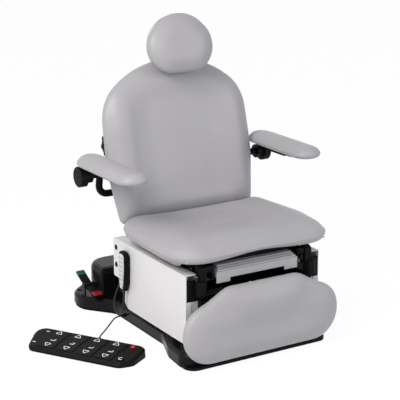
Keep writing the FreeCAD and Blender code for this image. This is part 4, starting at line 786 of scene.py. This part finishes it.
def seat_edge(y):
    """Half the cushion's width low on its edge at y, less a small inset."""
    points = coordinates(bpy.data.objects["seat_upholstery"].data)
    near = points[(np.abs(points[:, 1] - y) < EDGE_NEAR) & (points[:, 2] < EDGE_BELOW)]
    return float(np.abs(near[:, 0]).max()) - EDGE_INSET


def seat_side_path():
    """Upper point, lower point and lower height at each station, from the front round the rear corner."""
    path = []
    for k in range(SIDE_STEPS + 1):
        y = -SIDE_FRONT + (SIDE_REAR + SIDE_FRONT) * k / SIDE_STEPS
        drawn = float(beyond(-y, SIDE_DRAWN))
        top = (seat_edge(y) - SIDE_DRAW_IN * drawn, y)
        low = (SIDE_LOW_X + SIDE_DRAW_IN * drawn, y)
        path.append((top, low, SIDE_LOW_Z + SIDE_DRAW_UP * drawn))
    turn_x = seat_edge(SIDE_REAR) - SIDE_CORNER
    low_turn_x = SIDE_LOW_X - SIDE_LOW_CORNER[0]
    for k in range(1, SIDE_CORNER_STEPS + 1):
        a = math.radians(SIDE_CORNER_TURN * k / SIDE_CORNER_STEPS)
        c, s = math.cos(a), math.sin(a)
        top = (turn_x + SIDE_CORNER * c, SIDE_REAR + SIDE_CORNER * s)
        low = (low_turn_x + SIDE_LOW_CORNER[0] * c, SIDE_REAR + SIDE_LOW_CORNER[1] * s)
        path.append((top, low, SIDE_LOW_Z))
    return path


def seat_sides():
    path = seat_side_path()
    made = []
    for word, side in SIDES:
        loops = [[(side * (top[0] + (low[0] - top[0]) * f), top[1] + (low[1] - top[1]) * f,
                   low_z + (SIDE_TOP_Z - low_z) * g) for f, g in SIDE_SECTION] for top, low, low_z in path]
        obj = place("seat_side_" + word, stacked(loops), "seat", "upholstery", smooth=True)
        made.append(obj)
    return made


# Seam round the headrest's edge, found from the upholstery in the back's frame.
# Each point looks at what lies within SEAM_NEAR, in radians, and is evened out over its neighbours.
SEAM_LEVEL = 0.128
SEAM_BAND = 0.006
SEAM_CENTRE_UP = 0.733
SEAM_POINTS = 120
SEAM_NEAR = 0.06
SEAM_EVEN = 4
SEAM_RADIUS = 0.0014


def head_seam():
    points = in_back_frame(coordinates(bpy.data.objects["headrest_upholstery"].data))
    band = points[np.abs(-points[:, 1] - SEAM_LEVEL) < SEAM_BAND]
    x, up = band[:, 0], band[:, 2] - SEAM_CENTRE_UP
    angles = np.arctan2(up, x)
    turns = np.linspace(-math.pi, math.pi, SEAM_POINTS, endpoint=False)
    reach = []
    for a in turns:
        near = np.abs((angles - a + math.pi) % (2 * math.pi) - math.pi) < SEAM_NEAR
        reach.append(np.hypot(x[near], up[near]).max())
    reach = sum(np.roll(reach, k) for k in range(-SEAM_EVEN, SEAM_EVEN + 1)) / (2 * SEAM_EVEN + 1)
    path = [BACK_FRAME @ Vector((r * math.cos(a), -SEAM_LEVEL, SEAM_CENTRE_UP + r * math.sin(a)))
            for r, a in zip(reach, turns)]
    place("headrest_seam", swept(path, SEAM_RADIUS), "headrest", "upholstery", SEAM_THREAD, smooth=True)


# Cords. The foot cord's last points lie on the axis of the foot control's port.
FOOT_CORD = 0.006
HAND_CORD = 0.0096
PORT_BASE = (0.011, 0.083, 0.026)
PORT_SKEW = 28.0
PORT_LONG = 0.012
PORT_LEAD = 0.020
CORD_BEVEL = 4
CORD_ORDER = 3
CORD_STEPS = 8
FOOT_ROUTE = [
    (-0.291, 0.286, 0.030), (-0.309, 0.286, 0.030), (-0.329, 0.278, 0.0285), (-0.364, 0.2425, 0.026),
    (-0.400, 0.206, 0.0248), (-0.435, 0.1705, 0.025)]
HAND_ROUTE = [
    (-0.3275, 0.190, 0.178), (-0.3275, 0.190, 0.150), (-0.329, 0.191, 0.122), (-0.329, 0.1965, 0.0955),
    (-0.329, 0.212, 0.0735), (-0.329, 0.236, 0.063), (-0.328, 0.261, 0.067), (-0.325, 0.280, 0.084),
    (-0.3195, 0.2885, 0.108), (-0.311, 0.2905, 0.133), (-0.301, 0.290, 0.156), (-0.291, 0.290, 0.176),
    (-0.291, 0.290, 0.203)]


def cord_curve(name, route, diameter):
    data = bpy.data.curves.new(name, "CURVE")
    data.dimensions = "3D"
    data.bevel_depth = diameter / 2.0
    data.bevel_resolution = CORD_BEVEL
    data.use_fill_caps = True
    spline = data.splines.new("NURBS")
    spline.points.add(len(route) - 1)
    for point, at in zip(spline.points, route):
        point.co = (*at, 1.0)
    spline.order_u = CORD_ORDER
    spline.use_endpoint_u = True
    spline.resolution_u = CORD_STEPS
    obj = bpy.data.objects.new(name, data)
    scene.collection.objects.link(obj)
    data.materials.append(FINISH["cord"])
    return obj, spline.calc_length()


def make_cords():
    turn = math.radians(FOOT_TURN + PORT_SKEW)
    axis = Vector((-math.sin(turn), math.cos(turn), 0.0))
    port_end = FOOT_FLOOR @ Vector(PORT_BASE) + axis * PORT_LONG
    foot_route = FOOT_ROUTE + [tuple(port_end + axis * PORT_LEAD), tuple(port_end)]
    for name, points, thick, body, node in (("foot_lead", foot_route, FOOT_CORD, "base", "foot_cord"),
                                            ("hand_lead", HAND_ROUTE, HAND_CORD, "lift_body", "hand_cord")):
        obj, length = cord_curve(name, points, thick)
        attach(obj, body)
        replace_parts(obj, node)


# Foot control: prints on the rockers and the home button, ribs and ticks on the case
PRINT_RISE = 0.0004
ARROWS = (("up", 0.052, 1), ("down", -0.046, -1))
# Half width, foot below the middle, tip above it and corner radius of an arrow's two outlines
ARROW_OUTER = (0.0172, 0.0115, 0.0145, 0.0042)
ARROW_INNER = (0.0118, 0.0086, 0.0096, 0.0022)
ICON_SHIFT = 0.006
ICON_Y = -0.010
ICON_CORNER = 0.0012
ICON_SEAT = (-0.0030, -0.0020, 0.0065, 0.0020)
ICON_BACK = ((0.0035, -0.0040), (0.0075, -0.0040), (0.0110, 0.0100), (0.0070, 0.0100))
ICON_MOVES = ((-0.9, 0.2), (0.0, 0.9), (0.7, 0.5), (0.9, -0.4))
ICON_MOVE_OUT = 0.011
ICON_MOVE_HALF = 0.0030
ICON_MOVE_RISE = 0.0006
RIB_MIDDLE_Y = 0.043
RIB_HALF = (0.0030, 0.025)
RIB_CORNER = 0.0028
RIB_SINK = 0.001
RIB_RISE = 0.0034
RIB_EDGE = 0.0016
TICKS = ((-0.206, 0.052), (-0.214, -0.040))
TICK_HALF = (0.007, 0.0022)
TICK_CORNER = 0.0020
HOME_MIDDLE = (0.183, -0.045)
HOME_RADII = (0.0092, 0.0062)
HOME_START = 60.0
HOME_SWEEP = 270.0
HOME_STEPS = 24
SMALL_STEPS = 3


def foot_print(name, loop, body, mat, low=ROCKER_TOP, rise=PRINT_RISE):
    place(name, plate(loop, low, rise), body, "overlay", mat, FOOT_FRAME)


def arrow_outline(x, y, sign, sizes):
    half, foot, tip, corner = sizes
    corners = [(x - half, y - foot * sign), (x + half, y - foot * sign), (x, y + tip * sign)]
    return rounded(corners[::sign], corner)


def chair_icon(number, x, y, body):
    dx, dy = ICON_MOVES[number - 1]
    seat_x, seat_y, seat_half_x, seat_half_y = ICON_SEAT
    seat = rectangle(x + seat_x, y + seat_y, seat_half_x, seat_half_y)
    back = [(x + a, y + b) for a, b in ICON_BACK]
    move = rectangle(x + ICON_MOVE_OUT * dx, y + ICON_MOVE_OUT * dy, ICON_MOVE_HALF, ICON_MOVE_HALF)
    for word, loop, mat, rise in (("seat", seat, PRINT_WHITE, PRINT_RISE),
                                  ("back", back, PRINT_WHITE, PRINT_RISE),
                                  ("move", move, PRINT_BLUE, ICON_MOVE_RISE)):
        outline = rounded(loop, ICON_CORNER, SMALL_STEPS)
        foot_print("icon_%s_%d" % (word, number), outline, body, mat, rise=rise)


def home_mark():
    x, y = HOME_MIDDLE
    angles = [math.radians(HOME_START + HOME_SWEEP * k / HOME_STEPS) for k in range(HOME_STEPS + 1)]
    outer, inner = [[(x + r * math.cos(a), y + r * math.sin(a)) for a in angles] for r in HOME_RADII]
    foot_print("home_mark", outer + inner[::-1], "button_home", PRINT_WHITE)


def foot_marks():
    for number in range(1, ROCKER_COUNT + 1):
        x = ROCKER_START + ROCKER_PITCH * (number - 1)
        body = "rocker_%d" % number
        for word, y, sign in ARROWS:
            outer = arrow_outline(x, y, sign, ARROW_OUTER)
            inner = arrow_outline(x, y, sign, ARROW_INNER)
            place("arrow_%s_%d" % (word, number), ring_band(outer, inner, ROCKER_TOP, PRINT_RISE), body,
                  "overlay", PRINT_WHITE, FOOT_FRAME)
        chair_icon(number, x + ICON_SHIFT, ICON_Y, body)
        loop = rounded(rectangle(x + ROCKER_PITCH / 2.0, RIB_MIDDLE_Y, *RIB_HALF), RIB_CORNER)
        place("foot_rib_%d" % number, pill(loop, FOOT_TOP - RIB_SINK, FOOT_TOP + RIB_RISE, RIB_EDGE), "base",
              "black_plastic", MATT_BLACK, FOOT_FRAME)
    for number, (x, y) in enumerate(TICKS, 1):
        loop = rounded(rectangle(x, y, *TICK_HALF), TICK_CORNER)
        foot_print("foot_tick_%d" % number, loop, "base", PRINT_WHITE, low=FOOT_TOP)
    home_mark()


# Hand control: key outlines in two columns and a round stop key, on the keypad's outer face
KEY_MIDDLE_Y = 0.190
KEY_OUT = 0.0088
KEY_TOP_Z = 0.320
KEY_PITCH = 0.0185
KEY_ROWS = 7
KEY_HALF = (0.0050, 0.0052)
KEY_FLAT_HALF = (0.0056, 0.0036)
KEY_FLAT_EVERY = 3
KEY_LINE = 0.0016
KEY_CORNER = 0.0018
KEY_INNER_CORNER = 0.0008
KEY_RISE = 0.0003
STOP_Z = 0.1985
STOP_RADIUS = 0.0042
STOP_SIDES = 24


def keypad_marks():
    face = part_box("hand_keypad")[0][0]
    for row in range(KEY_ROWS):
        z = KEY_TOP_Z - KEY_PITCH * row
        half_y, half_z = KEY_HALF if row % KEY_FLAT_EVERY else KEY_FLAT_HALF
        for word, column in (("a", -1), ("b", 1)):
            y = KEY_MIDDLE_Y + KEY_OUT * column
            outer = rounded(rectangle(y, z, half_y, half_z), KEY_CORNER, SMALL_STEPS)
            inside = rectangle(y, z, half_y - KEY_LINE, half_z - KEY_LINE)
            inner = rounded(inside, KEY_INNER_CORNER, SMALL_STEPS)
            verts, faces = ring_band(outer, inner, 0.0, KEY_RISE)
            verts = [(face - d, a, b) for a, b, d in verts]
            place("key_%d_%s" % (row + 1, word), (verts, faces), "lift_body", "overlay", PRINT_GREY)
    rings = ((STOP_RADIUS, 0.0), (STOP_RADIUS, PRINT_RISE))
    stop = lathed(rings, STOP_SIDES, lambda a, b, d: (face - d, KEY_MIDDLE_Y - KEY_OUT + a, STOP_Z + b))
    place("key_stop", stop, "lift_body", "red_plastic")


# Tray lid: steps above the face, each set back, raised and narrowed by so much
TRAY_STEPS = ((0.004, 0.0075, 0.006), (0.013, 0.0135, 0.010), (0.022, 0.0195, 0.014))
TRAY_STEP_REAR = 0.051
TRAY_STEP_THICK = 0.0080
TRAY_STEP_BEVEL = 0.0012


def tray_lid():
    low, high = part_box("tray")
    for number, (back, rise, narrow) in enumerate(TRAY_STEPS, 1):
        half = high[0] - narrow
        y0, y1 = low[1] + back, low[1] + TRAY_STEP_REAR
        z0, z1 = high[2] + rise - TRAY_STEP_THICK, high[2] + rise
        section = [(y0, z0), (y1, z0), (y1, z1), (y0 + TRAY_STEP_BEVEL, z1), (y0, z1 - TRAY_STEP_BEVEL)]
        step = stacked([[(x, y, z) for y, z in section] for x in (-half, half)])
        place("tray_lid_%d" % number, step, "tray", "tray_grey")


# Armrest hubs: caps of (radius, rise) rings on the outer faces
HUB_X = 0.455
HUB_Y = 0.325
HUB_Z = 0.643
HUB_SIDES = 48
HUB_RINGS = ((0.0405, 0.0), (0.0405, 0.0016), (0.0385, 0.0026), (0.0300, 0.0030), (0.0285, 0.0022),
             (0.0265, 0.0022), (0.0250, 0.0032), (0.0120, 0.0036))


def hub_caps():
    for word, side in SIDES:
        cap = lathed(HUB_RINGS, HUB_SIDES, lambda a, b, d: (side * (HUB_X + d), HUB_Y + a, HUB_Z + b))
        place("hub_cap_" + word, cap, "arm_" + word, "black_plastic", MATT_BLACK)


# Wheel pedal: ribs across its two pads, each turned about the pedal's pivot and raised, in degrees
PEDAL_PIVOT = (-0.330, 0.506, 0.104)
PEDAL_PADS = (("green", 0.0, 26.0), ("red", 180.0, -10.0))
PEDAL_RIBS = 4
PEDAL_RIB_START = 0.0699
PEDAL_RIB_PITCH = 0.0060
PEDAL_RIB_HALF = (0.0155, 0.0014)
PEDAL_RIB_CORNER = 0.0012
PEDAL_RIB_LOW = 0.0055
PEDAL_RIB_TOP = 0.0072
PEDAL_RIB_EDGE = 0.0007


def pedal_ribs():
    for word, turn, raised in PEDAL_PADS:
        matrix = (Matrix.Translation(PEDAL_PIVOT) @ Matrix.Rotation(math.radians(turn), 4, "Z")
                  @ Matrix.Rotation(math.radians(raised), 4, "X"))
        for k in range(PEDAL_RIBS):
            along = PEDAL_RIB_START + PEDAL_RIB_PITCH * k
            loop = rounded(rectangle(0.0, along, *PEDAL_RIB_HALF), PEDAL_RIB_CORNER, SMALL_STEPS)
            place("pedal_rib_%s_%d" % (word, k + 1), pill(loop, PEDAL_RIB_LOW, PEDAL_RIB_TOP, PEDAL_RIB_EDGE),
                  "wheel_pedal", word + "_plastic", None, matrix)


# Side panels: matt black plugs in the rear holes. Their black is painted shade that stands in for the dark
# inside the open holes.
PLUG_SIDES = 32
PANEL_PLUG_X = 0.309
PANEL_PLUG_Y = 0.287
PANEL_PLUG_Z = (0.334, 0.260)
PANEL_PLUG_RINGS = ((0.0117, -0.0025), (0.0117, 0.0002), (0.0108, 0.0010), (0.0040, 0.0012))


def shaded_hole_plugs():
    for word, side in SIDES:
        for number, z in enumerate(PANEL_PLUG_Z, 1):
            plug = lathed(PANEL_PLUG_RINGS, PLUG_SIDES,
                          lambda a, b, d: (side * (PANEL_PLUG_X + d), PANEL_PLUG_Y + a, z + b))
            # the plug's matt black is painted shade for the hole's dark inside
            place("shaded_hole_plug_%s_%d" % (word, number), plug, "lift_body", "black_plastic", MATT_BLACK)


# Base: a raised bead inside the cover's edge, and a plug in each wing.
# The corners are x, y and radius of the cover's left half, from the front.
BASE_CORNERS = ((0.338, -0.303, 0.050), (0.322, -0.150, 0.090), (0.275, -0.030, 0.090),
                (0.275, 0.372, 0.060), (0.371, 0.493, 0.090), (0.381, 0.650, 0.116))
BEAD_STEPS = 8
BEAD_INSET = 0.0135
BEAD_Z = 0.0622
BEAD_RADIUS = 0.0026
WING_PLUG_X = 0.330
WING_PLUG_Y = 0.590
WING_PLUG_RINGS = ((0.0135, 0.0615), (0.0135, 0.0645), (0.0118, 0.0660), (0.0060, 0.0664))


def base_outline():
    corners = list(BASE_CORNERS) + [(-x, y, radius) for x, y, radius in reversed(BASE_CORNERS)]
    points = [corner[:2] for corner in corners]
    outline = []
    for i, (x, y, radius) in enumerate(corners):
        centre, start, end = corner_arc(points, i, radius)
        for k in range(BEAD_STEPS + 1):
            outline.append(centre + start.lerp(end, k / BEAD_STEPS).normalized() * radius)
    return outline


def base_trim():
    outline = base_outline()
    path = []
    for i, here in enumerate(outline):
        along = outline[(i + 1) % len(outline)] - outline[i - 1]
        inset = here + Vector((-along.y, along.x)).normalized() * BEAD_INSET
        path.append((inset.x, inset.y, BEAD_Z))
    place("base_bead", swept(path, BEAD_RADIUS), "base", "black_plastic", smooth=True)
    for word, side in SIDES:
        plug = lathed(WING_PLUG_RINGS, PLUG_SIDES,
                      lambda a, b, d: (side * WING_PLUG_X + a, WING_PLUG_Y + b, d))
        place("wing_plug_" + word, plug, "base", "black_plastic")


make_camera()
make_world()
make_floor()
make_lamps()
paint_frame()
make_upholstery()
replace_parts(seat_sides()[0], "seat_skirt")
head_seam()
make_cords()
foot_marks()
keypad_marks()
tray_lid()
hub_caps()
pedal_ribs()
shaded_hole_plugs()
base_trim()
scene.view_settings.view_transform = "Standard"
